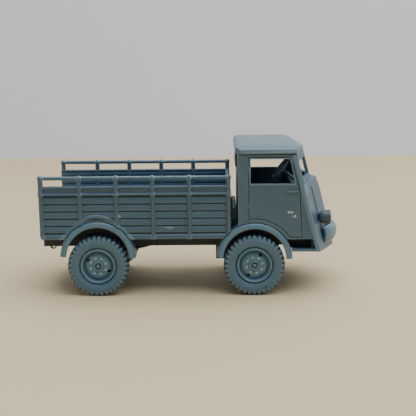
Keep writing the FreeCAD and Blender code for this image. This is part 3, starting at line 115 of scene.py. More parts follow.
def add(tree, kind, inputs=None, **settings):
    """Add a node. inputs gives each socket a value, or the socket that feeds it."""
    node = tree.nodes.new(kind)
    for name, setting in settings.items():
        setattr(node, name, setting)
    for name, given in (inputs or {}).items():
        socket = node.inputs[name]
        if isinstance(given, bpy.types.NodeSocket):
            tree.links.new(given, socket)
        else:
            socket.default_value = given
    return node


print("roof grey:", [round(c, 3) for c in linear("687F8B")])

# %% [markdown]
# ## Moulded polystyrene
# Kit plastic is dyed in the mass, so it has no paint edge and no clear coat.
# What the eye reads is a satin surface: a broad soft highlight, faint clouds
# where the melt flowed and cooled, a fine skin from the polished steel mould,
# and edges that are never quite sharp. The clouds are a low noise in the
# colour, the skin is a fine noise in the bump, and a bevelled normal rounds the
# edges a little, as a mould cut with a ball cutter does. The skin is drawn a
# little coarser than the real one, or it would vanish at this size.

# %% Measures and tones of the plastic
CLOUD_SIZE = 6.0 * MM
SKIN_SIZE = 0.3 * MM
SKIN_DEPTH = 0.006 * MM
EDGE_RADIUS = 0.07 * MM
POLYSTYRENE_IOR = 1.59
SATIN_SPREAD = (-0.08, 0.10)
# Pale marks: stress whitening, and also painted highlights on the nose and the rail.
PALE_MARK_AND_HIGHLIGHT = "D2DADC"
# Paler outer edges: rubbing, and a painted highlight on every edge.
EDGE_RUB_AND_HIGHLIGHT = "86A0AA"
# Painted shade: the dark of grooves and recesses, and of one patch below a headlight.
PAINTED_SHADE = "151C20"
DARK_SPOT = "0E1214"
print("edges are rounded by", round(EDGE_RADIUS / MM, 2), "mm")

# %% [markdown]
# ## Marks, rubbing with painted edge highlights, and painted shade
# Knocks and scratches whiten such plastic, so each mark is a small patch of a
# paler tone, broken up by a noise, at its own place on the model. A few of the
# patches are painted highlights, and one is a painted shade. Handling rubs the
# edges paler, and the same paler tone paints a highlight on every outer edge.
# The grooves are painted dark as painted shade. Two occlusion lookups give this:
# one looks into the plastic and finds the outer edges, the other looks outwards
# and finds the grooves. Each returns a factor for a colour mix.

# %% Masks
MARK_CORE = 0.55
MARK_BREAKS = (0.46, 0.52)
# Reach and limits of the two lookups: rubbing with a painted highlight on outer edges, painted
# shade in grooves.
RUB_AND_HIGHLIGHT_REACH = 0.22 * MM
RUB_AND_HIGHLIGHT_LIMITS = (0.92, 0.5)
SHADE_REACH = 0.5 * MM
SHADE_LIMITS = (0.8, 0.3)


def ramp(value, limits, amount=1.0):
    """Inputs of a Map Range node that reads 0 at one limit and an amount at the other."""
    return {"Value": value, "From Min": limits[0], "From Max": limits[1], "To Max": amount}


def mark_mask(tree, place, centre, reach, grain, amount):
    """How much of a mark shows: all of it near its centre, broken up by a noise."""
    apart = {0: place, 1: Vector(centre) * MM}
    offset = add(tree, "ShaderNodeVectorMath", apart, operation="SUBTRACT").outputs[0]
    shares = {0: offset, 1: [1 / (r * MM) for r in reach]}
    scaled = add(tree, "ShaderNodeVectorMath", shares, operation="MULTIPLY").outputs[0]
    far = add(tree, "ShaderNodeVectorMath", {0: scaled}, operation="LENGTH").outputs["Value"]
    inside = add(tree, "ShaderNodeMapRange", ramp(far, (1.0, MARK_CORE))).outputs["Result"]
    grains = {"Vector": place, "Scale": 1 / (grain * MM), "Detail": 3.0}
    noise = add(tree, "ShaderNodeTexNoise", grains).outputs["Fac"]
    broken = add(tree, "ShaderNodeMapRange", ramp(noise, MARK_BREAKS, amount)).outputs["Result"]
    return add(tree, "ShaderNodeMath", {0: inside, 1: broken}, operation="MULTIPLY").outputs[0]


def edge_mask(tree, inside, reach, limits, amount):
    """Outer edges where the lookup goes into the plastic, grooves where it goes out."""
    settings = {"samples": 5, "inside": inside, "only_local": True}
    near = add(tree, "ShaderNodeAmbientOcclusion", {"Distance": reach}, **settings)
    scaled = add(tree, "ShaderNodeMapRange", ramp(near.outputs["AO"], limits, amount))
    return scaled.outputs["Result"]


# %% Polystyrene
def polystyrene(name, main, deep, roughness, marks=(), rub_and_highlight=0.45, shade_amount=0.6):
    """Dyed kit plastic between two tones, with edges paler from rubbing and a painted highlight,
    painted shade in the grooves, and marks.
    """
    material = bpy.data.materials.new(name)
    material.use_nodes = True
    tree = material.node_tree
    shader = tree.nodes["Principled BSDF"]
    place = add(tree, "ShaderNodeTexCoord").outputs["Object"]
    flow = {"Vector": place, "Scale": 1 / CLOUD_SIZE, "Detail": 4.0, "Roughness": 0.6}
    clouds = add(tree, "ShaderNodeTexNoise", flow).outputs["Fac"]
    layers = [
        (main, clouds),
        # Outer edges painted paler: rubbing and a painted highlight.
        (EDGE_RUB_AND_HIGHLIGHT, edge_mask(tree, True, RUB_AND_HIGHLIGHT_REACH, RUB_AND_HIGHLIGHT_LIMITS, rub_and_highlight)),
        # Grooves painted dark: painted shade.
        (PAINTED_SHADE, edge_mask(tree, False, SHADE_REACH, SHADE_LIMITS, shade_amount)),
    ]
    layers += [(colour, mark_mask(tree, place, *where)) for colour, *where in marks]
    tone = linear(deep)
    for colour, mask in layers:
        mixed = {"Factor": mask, "A": tone, "B": linear(colour)}
        tone = add(tree, "ShaderNodeMix", mixed, data_type="RGBA").outputs["Result"]
    grain = {"Vector": place, "Scale": 1 / SKIN_SIZE, "Detail": 2.0, "Roughness": 0.6}
    skin = add(tree, "ShaderNodeTexNoise", grain).outputs["Fac"]
    glossy, matt = [roughness + spread for spread in SATIN_SPREAD]
    satin = add(tree, "ShaderNodeMapRange", {"Value": clouds, "To Min": glossy, "To Max": matt})
    edges = add(tree, "ShaderNodeBevel", {"Radius": EDGE_RADIUS}, samples=4).outputs["Normal"]
    bumps = {"Height": skin, "Distance": SKIN_DEPTH, "Strength": 1.0, "Normal": edges}
    relief = add(tree, "ShaderNodeBump", bumps)
    tree.links.new(tone, shader.inputs["Base Color"])
    tree.links.new(satin.outputs["Result"], shader.inputs["Roughness"])
    tree.links.new(relief.outputs["Normal"], shader.inputs["Normal"])
    shader.inputs["IOR"].default_value = POLYSTYRENE_IOR
    return material


# %% [markdown]
# ## The plastics of this model
# It is one plastic throughout. Its tone is painted to follow the light: paler on
# the roof and palest on the nuts as painted highlights, a little paler on the
# mudguards, wheels, bumper and corner strip as painted light, and dark below,
# inside and on the headlights as painted shade. Its sheen changes with how each
# piece was moulded: polished on the mudguards and wheels, satin on the body, matt
# on the tyres and dull below and inside. A mark is written as its colour, its
# centre, its reach on each axis and its grain in millimetres, and its strength.

# %% Plastics
# Marks on the body, with painted highlights on the nose and the rail and a painted shade below the
# headlight.
BODY_MARKS_AND_PAINTED_LIGHT = (
    (PALE_MARK_AND_HIGHLIGHT, (22.1, -13.9, 18.75), (0.8, 0.6, 0.36), 0.45, 1.0),
    (PALE_MARK_AND_HIGHLIGHT, (23.1, -13.9, 17.9), (0.8, 0.6, 0.36), 0.45, 1.0),
    # Scratches at the nose corner, drawn large enough to paint its highlight too.
    (PALE_MARK_AND_HIGHLIGHT, (25.9, -12.3, 23.8), (1.3, 1.5, 1.7), 0.3, 0.25),
    (PALE_MARK_AND_HIGHLIGHT, (27.4, -11.6, 20.0), (0.9, 1.2, 2.0), 0.3, 0.18),
    # Painted shade below the headlight.
    (PAINTED_SHADE, (31.0, -8.0, 12.2), (2.0, 2.6, 1.8), 0.8, 0.5),
    (PALE_MARK_AND_HIGHLIGHT, (-15.4, -13.7, 18.2), (0.5, 0.4, 0.4), 0.2, 0.8),
    (PALE_MARK_AND_HIGHLIGHT, (-4.4, -13.7, 15.5), (1.3, 0.4, 0.32), 0.14, 0.45),
    # A painted highlight along the top of the rail.
    (PALE_MARK_AND_HIGHLIGHT, (-9.0, -13.6, 26.9), (26.0, 0.5, 0.4), 0.3, 0.3),
)
TYRE_MARKS = (
    (PALE_MARK_AND_HIGHLIGHT, (13.94, -14.0, 2.79), (0.5, 0.5, 0.2), 0.3, 0.9),
    (DARK_SPOT, (16.83, -13.9, 1.94), (0.32, 0.5, 0.3), 3.0, 1.0),
)
body_plastic = polystyrene("polystyrene_moulded_satin", "4A697C", "3E5B6C", 0.44, BODY_MARKS_AND_PAINTED_LIGHT)
# Paler than the body: a painted highlight on the roof, which faces the lamp.
lit_roof_plastic = polystyrene("polystyrene_painted_lit_roof", "687F8B", "5D737F", 0.40)
# Paler than the body: painted light on the mudguard lips, wheel dishes, bumper and corner strip.
paler_lit_plastic = polystyrene("polystyrene_painted_lit_parts", "5E8396", "537384", 0.38)
# Palest: rubbing on the nuts, and a painted highlight on their tops.
worn_highlight_plastic = polystyrene("polystyrene_worn_and_painted_lit", "A3BAC6", "8AA2AF", 0.36)
tyre_plastic = polystyrene(
    "polystyrene_moulded_matt", "547587", "486576", 0.52, TYRE_MARKS, rub_and_highlight=0.3, shade_amount=0.8
)
# Near black: painted shade for the chassis, the arches' inner walls and the step walls.
shaded_plastic = polystyrene(
    "polystyrene_painted_shade_below", "1E2B34", "182228", 0.6, rub_and_highlight=0.1, shade_amount=0.8
)
# Dark: painted shade inside the cab.
shaded_inside_plastic = polystyrene("polystyrene_painted_shade_inside", "364953", "2D3C45", 0.55)
# Darker: painted shade on the headlights.
shaded_lamp_plastic = polystyrene("polystyrene_painted_shade_lamp", "3D535E", "33464F", 0.5)
print("materials:", len(bpy.data.materials))

# %% [markdown]
# ## Outlines
# Most pieces of this truck are a section that is turned about an axis or drawn
# out along one. A section is written as few points: the corners, and for each
# round stretch a bend, which leaves the last point towards a corner and
# arrives at its end from that corner, as a draughtsman's spline does.


# %% Outlines with bends and arcs
def outline(start, *steps):
    """Points from a start. Each step is a point, or a bend: its corner, end and count."""
    points = [start]
    for step in steps:
        if len(step) == 2:
            points.append(step)
            continue
        first = points[-1]
        corner, end, count = step
        for t in [k / count for k in range(1, count + 1)]:
            weights = ((1 - t) ** 2, 2 * t * (1 - t), t * t)
            sides = zip(first, corner, end)
            points.append(tuple(sum(w * c for w, c in zip(weights, side)) for side in sides))
    return points


def arc(centre, radius, first, last, steps, squash=1.0):
    """Points on an arc about a centre, from one angle in degrees to another."""
    angles = [math.radians(first + (last - first) * k / steps) for k in range(steps + 1)]
    x, z = centre
    return [(x + radius * math.cos(a), z + squash * radius * math.sin(a)) for a in angles]


# %% Meshes from outlines
MERGE_DISTANCE = 0.0005 * MM


def new_mesh(name, verts, faces):
    """A mesh without doubled points, its faces turned outwards."""
    mesh = bpy.data.meshes.new(name)
    mesh.from_pydata([tuple(v) for v in verts], [], faces)
    cleaned = bmesh.new()
    cleaned.from_mesh(mesh)
    bmesh.ops.remove_doubles(cleaned, verts=cleaned.verts, dist=MERGE_DISTANCE)
    bmesh.ops.recalc_face_normals(cleaned, faces=cleaned.faces)
    cleaned.to_mesh(mesh)
    cleaned.free()
    return mesh


def skinned(name, rows, closed=True, whole=False):
    """Faces from each row of points in millimetres to the next, and a cap at both ends.
    A whole turn has no ends, since its last row meets its first."""
    count = len(rows[0])
    verts = [Vector(point) * MM for points in rows for point in points]
    faces = []
    for k in range(len(rows) if whole else len(rows) - 1):
        near, far = k * count, (k + 1) % len(rows) * count
        for i in range(count if closed else count - 1):
            j = (i + 1) % count
            faces.append((near + i, far + i, far + j, near + j))
    if not whole:
        faces += [tuple(range(count)), tuple(range(len(verts) - count, len(verts)))]
    return new_mesh(name, verts, faces)


def lathe(name, section, steps, first=0.0, sweep=360.0):
    """Turn (radius, along) points in millimetres about the Z axis.
    A section that stands off the axis is a closed outline."""
    whole = sweep == 360.0
    rows = []
    for k in range(steps if whole else steps + 1):
        angle = math.radians(first + sweep * k / steps)
        rows.append([(r * math.cos(angle), r * math.sin(angle), along) for r, along in section])
    return skinned(name, rows, section[0][0] > 0, whole)


def rod(name, radius, low, high, steps):
    """A round bar about the Z axis between two heights."""
    return lathe(name, [(0.0, low), (radius, low), (radius, high), (0.0, high)], steps)


def extruded(name, section, low, high, axis="y"):
    """A closed outline in millimetres, drawn out along an axis between two limits."""
    order = {"x": (2, 0, 1), "y": (0, 2, 1), "z": (0, 1, 2)}[axis]
    rows = [[[(a, b, end)[i] for i in order] for a, b in section] for end in (low, high)]
    return skinned(name, rows)


# %% [markdown]
# ## Cutting, joining and finishing
# Windows, arches and grooves are cut by exact booleans between closed meshes,
# because a hole made of hand-placed faces would have to be redrawn with every
# change of size. Pieces that the real mould casts as one are joined into one
# mesh. The truck is the same on both sides, so a left piece is a mirrored copy.


# %% Cut, join and mirror
def scratch_object(name, mesh):
    piece = bpy.data.objects.new(name, mesh)
    bpy.context.scene.collection.objects.link(piece)
    return piece


def moved(mesh, place, turn=0.0, axis="Z"):
    """Turn a mesh about an axis through the origin, then move it, in millimetres."""
    turned = Matrix.Rotation(math.radians(turn), 4, axis)
    mesh.transform(Matrix.Translation(Vector(place) * MM) @ turned)
    return mesh


def mirrored(mesh, across=(0, 1, 0)):
    """The same piece on the other side of a plane through the origin."""
    other = mesh.copy()
    other.transform(Matrix.Scale(-1, 4, across))
    other.flip_normals()
    return other


def coated(mesh, material):
    mesh.materials.append(material)
    return mesh


def carved(name, mesh, tools, operation="DIFFERENCE"):
    """Cut closed meshes out of a closed mesh, or keep what all of them share."""
    base = scratch_object(name, mesh)
    others = [scratch_object("tool", tool) for tool in tools]
    for other in others:
        modifier = base.modifiers.new("carve", "BOOLEAN")
        modifier.object = other
        modifier.operation = operation
        modifier.solver = "EXACT"
    seen = base.evaluated_get(bpy.context.evaluated_depsgraph_get())
    result = bpy.data.meshes.new_from_object(seen)
    result.name = name
    for spare in [base] + others:
        bpy.data.objects.remove(spare)
    return result


def joined(name, meshes):
    """One mesh of several. Each brings its own material, or none of them does."""
    whole = bmesh.new()
    result = bpy.data.meshes.new(name)
    for mesh in meshes:
        done = len(whole.faces)
        whole.from_mesh(mesh)
        whole.faces.ensure_lookup_table()
        if mesh.materials and mesh.materials[0].name not in result.materials:
            result.materials.append(mesh.materials[0])
        for face in whole.faces[done:]:
            face.material_index = max(0, len(result.materials) - 1)
    whole.to_mesh(result)
    whole.free()
    return result


# %% Finish a piece
SMOOTH_BELOW = 38


def finished_piece(name, mesh, body, stands_for, smooth_below=SMOOTH_BELOW):
    """A coated mesh as a smooth piece that rides on one body and stands for one solid."""
    mesh.shade_smooth()
    mesh.set_sharp_from_angle(angle=math.radians(smooth_below))
    mesh.name = name
    piece = scratch_object(name, mesh)
    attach(piece, body)
    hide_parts(stands_for)
    print(name + ":", len(mesh.polygons), "faces")


def finished_pair(name, mesh, stands_for):
    """The same piece on the truck's right and left sides."""
    for side, half in (("_right", mesh), ("_left", mirrored(mesh))):
        finished_piece(name + side, half, "truck", stands_for + side)


# %% [markdown]
# ## Repeating
# Bars of tread, wheel nuts and bed posts are one small shape set many times.
# That is left to two Geometry Nodes trees, one for a ring and one for a row, so
# that the number, the circle and the first angle stay open to change. Both make
# their copies real and coat them, because an export drops instances.


# %% Trees for a ring and a row of copies
def new_tree(name, inputs):
    """A tree with a geometry input, further inputs and one geometry output."""
    tree = bpy.data.node_groups.new(name, "GeometryNodeTree")
    for socket, kind in {"Geometry": "Geometry", **inputs}.items():
        tree.interface.new_socket(socket, in_out="INPUT", socket_type="NodeSocket" + kind)
    tree.interface.new_socket("Geometry", in_out="OUTPUT", socket_type="NodeSocketGeometry")
    return tree, add(tree, "NodeGroupInput").outputs


def real_copies(tree, given, points, rotation=(0.0, 0.0, 0.0)):
    """Set the copy on points, make the copies real and coat them."""
    copy = add(tree, "GeometryNodeObjectInfo", {"Object": given["Copy"]}).outputs["Geometry"]
    placing = {"Points": points, "Instance": copy, "Rotation": rotation}
    copies = add(tree, "GeometryNodeInstanceOnPoints", placing).outputs["Instances"]
    real = add(tree, "GeometryNodeRealizeInstances", {"Geometry": copies}).outputs["Geometry"]
    coat = {"Geometry": real, "Material": given["Material"]}
    return add(tree, "GeometryNodeSetMaterial", coat).outputs["Geometry"]


def ring_tree():
    """Copies of an object on a circle about Z, joined to the input."""
    measures = {"Count": "Int", "Circle": "Float", "First angle": "Float", "Height": "Float"}
    tree, given = new_tree("ring_of_copies", {"Copy": "Object", **measures, "Material": "Material"})
    points = add(tree, "GeometryNodePoints", {"Count": given["Count"]}).outputs["Geometry"]
    index = add(tree, "GeometryNodeInputIndex").outputs["Index"]
    share = {0: index, 1: given["Count"]}
    share = add(tree, "ShaderNodeMath", share, operation="DIVIDE").outputs[0]
    turn = {0: share, 1: 2 * math.pi, 2: given["First angle"]}
    angle = add(tree, "ShaderNodeMath", turn, operation="MULTIPLY_ADD").outputs[0]
    across = add(tree, "ShaderNodeMath", {0: angle}, operation="COSINE").outputs[0]
    up = add(tree, "ShaderNodeMath", {0: angle}, operation="SINE").outputs[0]
    direction = add(tree, "ShaderNodeCombineXYZ", {"X": across, "Y": up}).outputs[0]
    reach = {0: direction, "Scale": given["Circle"]}
    reach = add(tree, "ShaderNodeVectorMath", reach, operation="SCALE").outputs[0]
    lift = add(tree, "ShaderNodeCombineXYZ", {"Z": given["Height"]}).outputs[0]
    spot = add(tree, "ShaderNodeVectorMath", {0: reach, 1: lift}, operation="ADD").outputs[0]
    circle = {"Geometry": points, "Position": spot}
    circle = add(tree, "GeometryNodeSetPosition", circle).outputs["Geometry"]
    turned = add(tree, "ShaderNodeCombineXYZ", {"Z": angle}).outputs[0]
    whole = add(tree, "GeometryNodeJoinGeometry")
    tree.links.new(real_copies(tree, given, circle, turned), whole.inputs["Geometry"])
    tree.links.new(given["Geometry"], whole.inputs["Geometry"])
    add(tree, "NodeGroupOutput", {"Geometry": whole.outputs["Geometry"]})
    return tree


def row_tree():
    """A copy of an object on every point of the input."""
    tree, given = new_tree("row_of_copies", {"Copy": "Object", "Material": "Material"})
    add(tree, "NodeGroupOutput", {"Geometry": real_copies(tree, given, given["Geometry"])})
    return tree


def grown(base, tree, settings):
    """Run a Geometry Nodes tree on an object and give the result as a plain mesh."""
    modifier = base.modifiers.new(tree.name, "NODES")
    modifier.node_group = tree
    for item in tree.interface.items_tree:
        if item.in_out == "INPUT" and item.name in settings:
            modifier[item.identifier] = settings[item.name]
    seen = base.evaluated_get(bpy.context.evaluated_depsgraph_get())
    mesh = bpy.data.meshes.new_from_object(seen)
    base.modifiers.remove(modifier)
    return mesh


ring = ring_tree()
row = row_tree()
print("ring of copies:", len(ring.nodes), "nodes, row of copies:", len(row.nodes), "nodes")

# %% [markdown]
# ## Tyres
# The tyres are balloon tyres with deep cross bars that fold over the shoulder
# and fade into the sidewall. In the photograph 36 round-tipped teeth stand
# round the edge. Each bar is one small block with its section drawn across the
# tread, and the tree sets a ring of them on each half of the tyre.

# %% Measures of the wheels
WHEELS = ("front_right", "front_left", "rear_right", "rear_left")
tyre_low, tyre_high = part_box("tyre_front_right")
TYRE_RADIUS = (tyre_high.z - tyre_low.z) / 2 / MM
HALF_WIDTH = (tyre_high.y - tyre_low.y) / 2 / MM
BEAD_RADIUS = 3.97
BEAD_DEPTH = 0.66
BULGE_RADIUS = BEAD_RADIUS + 1.36
SHOULDER_DEPTH = 0.80
CARCASS_STEPS = 108
LUG_COUNT = 36
LUG_DEPTH = 0.40
LUG_FOOT = 1.0
LUG_TIP = 0.8
LUG_ROUND = 0.16
BOX_GAP = 0.015
TREAD_RADIUS = TYRE_RADIUS - LUG_DEPTH - BOX_GAP
TYRE_SPIN = {"front": 0.0, "rear": 4.0}
print("tyre radius:", round(TYRE_RADIUS, 2), "mm, half width:", round(HALF_WIDTH, 2), "mm")


# %% Tyre carcass and bar
def tyre_section():
    """The carcass from one bead over the tread to the other, in millimetres."""
    outer = outline(
        (BEAD_RADIUS, HALF_WIDTH - BEAD_DEPTH),
        ((BEAD_RADIUS + 0.22, HALF_WIDTH - 0.04), (BULGE_RADIUS, HALF_WIDTH), 6),
        ((TREAD_RADIUS - 0.02, HALF_WIDTH - 0.09), (TREAD_RADIUS, HALF_WIDTH - SHOULDER_DEPTH), 6),
    )
    inner = [(radius, -along) for radius, along in outer]
    return inner + outer[::-1]


def tread_bar():
    """One bar of tread for the +Z half. X runs outwards from the tread's circle."""
    section = [
        (-0.25, 0.10, LUG_FOOT),
        (LUG_DEPTH, 0.10, LUG_TIP),
        (LUG_DEPTH, HALF_WIDTH - 0.60, LUG_TIP),
        (LUG_DEPTH - 0.04, HALF_WIDTH - 0.40, LUG_TIP),
        (LUG_DEPTH - 0.14, HALF_WIDTH - 0.24, LUG_TIP + 0.03),
        (LUG_DEPTH - 0.32, HALF_WIDTH - 0.12, LUG_TIP + 0.08),
        (-0.14, HALF_WIDTH - 0.07, LUG_TIP + 0.1),
        (-0.36, HALF_WIDTH - 0.06, LUG_TIP),
        (-0.52, HALF_WIDTH - 0.14, LUG_TIP - 0.2),
        (-0.60, HALF_WIDTH - 0.34, LUG_TIP - 0.3),
    ]
    halves = (-0.5, 0.5)
    rows = [[(rise, half * width, along) for rise, along, width in section] for half in halves]
    return skinned("tread_bar", rows)


def rounded_bar():
    """The bar with its long upper edges rounded, clear of its root and its inner end."""
    mesh = tread_bar()
    softened = bmesh.new()
    softened.from_mesh(mesh)
    root, inner_end, short = -0.3 * MM, 0.2 * MM, 0.2 * MM
    rims = []
    for edge in softened.edges:
        a, b = [vert.co for vert in edge.verts]
        if min(a.x, b.x) > root and min(a.z, b.z) > inner_end and abs(a.y - b.y) < short:
            rims.append(edge)
    bmesh.ops.bevel(softened, geom=rims, offset=LUG_ROUND * MM, segments=2, affect="EDGES")
    softened.to_mesh(mesh)
    softened.free()
    return mesh


# %% Dress each wheel
def set_on_wheel(mesh, wheel, spin=0.0):
    """Turn a mesh made about Z to the wheel's axis, outer side out, and move it there."""
    low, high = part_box("tyre_" + wheel)
    upright = 90 if wheel.endswith("right") else -90
    return moved(moved(mesh, (0, 0, 0), upright, "X"), (low + high) / 2 / MM, spin, "Y")


def dress_tyres():
    bar = scratch_object("tread_bar", rounded_bar())
    inner_bar = scratch_object("tread_bar_inner", mirrored(bar.data, (0, 0, 1)))
    settings = {"Count": LUG_COUNT, "Circle": TREAD_RADIUS * MM, "Material": tyre_plastic}
    carcass = coated(lathe("carcass", tyre_section(), CARCASS_STEPS), tyre_plastic)
    carcass = scratch_object("carcass", carcass)
    half = scratch_object("half_tyre", grown(carcass, ring, settings | {"Copy": bar}))
    for wheel in WHEELS:
        mesh = grown(half, ring, settings | {"Copy": inner_bar})
        set_on_wheel(mesh, wheel, TYRE_SPIN[wheel.split("_")[0]])
        name = "tyre_with_bars_" + wheel
        finished_piece(name, mesh, "wheel_" + wheel, "tyre_" + wheel)
    for spare in (bar, inner_bar, carcass, half):
        bpy.data.objects.remove(spare)


dress_tyres()

# %% [markdown]
# ## Pressed wheels
# Inside the tyre sits a pressed disc wheel: a rolled rim, a groove inside it, a
# dish that bulges outwards to the nuts, eight round nuts, and a raised hub with
# a groove and a cap. Light catches the nuts and the groove stays dark. The
# section is lathed with bends that keep those rolls, and the tree sets the nuts
# on their circle. The disc takes a paler plastic, painted light on the dish. The
# nuts take the palest plastic, since they stand out and are touched first: some
# rubbing, and a painted highlight on their tops. Two blind hand holes are cut
# through the dish into small pockets.

# %% Wheel discs
NUT_CIRCLE = 1.77
NUT_COUNT = 8
NUT_RADIUS = 0.28
NUT_DOME = 0.30
NUT_SEAT = 1.12
NUT_FIRST = {"front": 14.5, "rear": 18.0}
HAND_HOLES = {"front": (-31.0, 149.0), "rear": (58.0, -115.0)}
HOLE_RADIUS = 0.4
HOLE_CIRCLE = 2.66
HOLE_STEPS = 20
POCKET_WALL = 0.12
POCKET_FLOOR = -0.62
RIM_STEPS = 72
BACK_OF_DISC = [
    (0.65, 0.60), (0.65, -0.60), (1.20, -0.60), (1.20, 0.55), (2.20, 0.50), (2.90, 0.25),
    (3.20, 0.05), (3.44, 0.00), (3.47, -1.55), (3.90, -1.60), (3.92, -1.40),
]
ROLLED_RIM = [(3.92, 1.30), ((3.93, 1.58), (3.69, 1.60), 3), ((3.49, 1.61), (3.41, 1.32), 3)]
GROOVE_AND_DISH = [
    (3.36, 1.10), (3.31, 0.84), ((3.24, 0.31), (2.88, 0.75), 4), ((2.35, 1.21), (1.48, 1.12), 5),
]
HUB = [
    (1.24, 1.09), (1.16, 1.11), ((1.07, 1.47), (0.85, 1.41), 4), ((0.65, 1.36), (0.65, 0.96), 3),
]
CAP = [(0.48, 0.94), (0.45, 1.12), (0.43, 1.38), ((0.39, 1.57), (0.12, 1.60), 3), (0.0, 1.60)]
DISC_SECTION = outline((0.0, 0.60), *BACK_OF_DISC, *ROLLED_RIM, *GROOVE_AND_DISH, *HUB, *CAP)
print("disc section:", len(DISC_SECTION), "points")


def nut():
    """A round-topped wheel nut."""
    dome = arc((0.0, 0.12), NUT_RADIUS, 0, 90, 4, NUT_DOME / NUT_RADIUS)
    return lathe("nut", [(0.0, -0.1), (NUT_RADIUS, -0.1)] + dome, 14)


def on_dish(mesh, angle):
    """Set a mesh made about Z on the hand holes' circle, at an angle from the top."""
    turn = math.radians(90 + angle)
    return moved(mesh, (HOLE_CIRCLE * math.cos(turn), HOLE_CIRCLE * math.sin(turn), 0))


def pierced_disc(end):
    """The disc with its two hand holes, each with a closed pocket behind it."""
    wall, back = HOLE_RADIUS + POCKET_WALL, POCKET_FLOOR - 0.08
    pocket = [(0.0, back), (wall, back), (wall, 0.20), (HOLE_RADIUS, 0.20)]
    pocket += [(HOLE_RADIUS, POCKET_FLOOR), (0.0, POCKET_FLOOR)]
    plugs, pockets = [], []
    for angle in HAND_HOLES[end]:
        plugs.append(on_dish(rod("plug", HOLE_RADIUS, -1.2, 1.2, HOLE_STEPS), angle))
        pockets.append(on_dish(lathe("pocket", pocket, HOLE_STEPS), angle))
    disc = carved("disc", lathe("disc", DISC_SECTION, RIM_STEPS), plugs)
    return joined("pierced_disc", [disc] + pockets)


# %% Dress each disc
def dress_discs():
    nut_object = scratch_object("nut", nut())
    nuts = {"Copy": nut_object, "Count": NUT_COUNT, "Circle": NUT_CIRCLE * MM}
    # The nuts take the palest plastic: some rubbing and a painted highlight.
    nuts |= {"Height": NUT_SEAT * MM, "Material": worn_highlight_plastic}
    for wheel in WHEELS:
        end = wheel.split("_")[0]
        # The disc takes the paler plastic: painted light on the dish.
        base = scratch_object("disc", coated(pierced_disc(end), paler_lit_plastic))
        first = {"First angle": math.radians(90 + NUT_FIRST[end])}
        mesh = set_on_wheel(grown(base, ring, nuts | first), wheel)
        name = "pressed_wheel_" + wheel
        finished_piece(name, mesh, "wheel_" + wheel, "wheel_disc_" + wheel)
        bpy.data.objects.remove(base)
    bpy.data.objects.remove(nut_object)


dress_discs()

# %% [markdown]
# ## Mudguards
# Each mudguard is a rolled shell over the wheel with a deep lip at its outer
# edge and a flat wall on the inside. The lip is not flat: it bulges, and its
# outer edge carries a bright line all round the arch. The section of shell and
# lip is swept through the arc, and the inner wall is a segment of the circle.
# The shell takes the paler plastic, as painted light, and the inner wall the
# dark one, as the painted shade inside the arch.

# %% Mudguards
GUARD_OUTER = 8.4
GUARD_INSIDE = 10.25
GUARD_WALL = 0.6
GUARD_STEPS = 64
GUARDS = {
    "front": {"centre": (14.35, 8.10), "foot": 1.8, "sweep": 173.0, "base": 12.9},
    "rear": {"centre": (-20.43, 8.60), "foot": 0.7, "sweep": 175.6, "base": 12.92},
}
GUARD_SECTION = outline(
    (7.80, GUARD_INSIDE), (8.36, GUARD_INSIDE), (GUARD_OUTER, 10.35), (GUARD_OUTER, 13.20),
    ((8.37, 14.10), (7.44, 14.14), 6), ((7.00, 14.14), (6.95, 13.78), 4),
    ((6.93, 13.51), (7.16, 13.44), 3), (7.80, 13.40),
)


def mudguard(end):
    """The right mudguard of one axle."""
    shape = GUARDS[end]
    x, z = shape["centre"]
    shell = lathe("guard_shell", GUARD_SECTION, GUARD_STEPS, shape["foot"], shape["sweep"])
    # The shell takes the paler plastic: painted light on the lip.
    shell = coated(moved(shell, (0, 0, 0), 90, "X"), paler_lit_plastic)
    start = math.degrees(math.asin((shape["base"] - z) / GUARD_OUTER))
    segment = arc((0.0, 0.0), GUARD_OUTER, start, 180 - start, GUARD_STEPS)
    wall = extruded("guard_wall", segment, -GUARD_INSIDE, GUARD_WALL - GUARD_INSIDE)
    # The inner wall is painted dark as the shade inside the arch.
    return moved(joined("mudguard", [shell, coated(wall, shaded_plastic)]), (x, 0, z))


for axle in GUARDS:
    name = "rolled_mudguard_" + axle
    finished_pair(name, mudguard(axle), "mudguard_" + axle)

# %% [markdown]
# ## Planked sides of the bed
# The sides carry most of the light and dark of the model: five boards with a
# rounded upper edge that shines and a deep groove that stays black, a bead
# along the top, a second moulding below it, a sill that turns into the moulding
# over the wheel, round posts with a collar and a ball, and a thin pipe rail.
# Boards and mouldings are one section drawn along the bed. Its groove and edges
# are written for one board and repeated by the pitch.

# %% Measures of the sides
side_low, side_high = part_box("bed_side_right")
BED_REAR = -32.98
BED_FRONT = 9.10
PANEL_OUT = 13.59
PANEL_IN = 12.99
BED_BOTTOM = 12.92
PANEL_TOP = 24.82
SILL_TOP = 14.12
FIRST_BOARD = 14.44
BOARD_PITCH = 1.62
BOARD_COUNT = 5
GROOVE = 0.30
GROOVE_WIDTH = 0.22
SECOND_MOULDING = 22.72
INNER_TOP = 24.2
INNER_PITCH = 0.98
INNER_COUNT = 10
POST_PLACES = (-32.46, -23.94, -15.94, -7.94, 0.06, 8.58)
RAIL_Z = 26.6
RAIL_RADIUS = 0.42
ARCH_RADIUS = GUARD_OUTER + 0.06
CORNER_RADIUS = 1.1
print("bed side in mm:", [round(v / MM, 2) for v in (*side_low, *side_high)])


# %% Section of a side
def bead(low, high, relief):
    """A half-round moulding between two heights, as steps of (relief, height)."""
    middle = (low + high) / 2
    half = (high - low) / 2
    turns = [math.radians(-75 + 30 * k) for k in range(6)]
    return [(relief * math.cos(t) ** 0.6, middle + half * math.sin(t)) for t in turns]


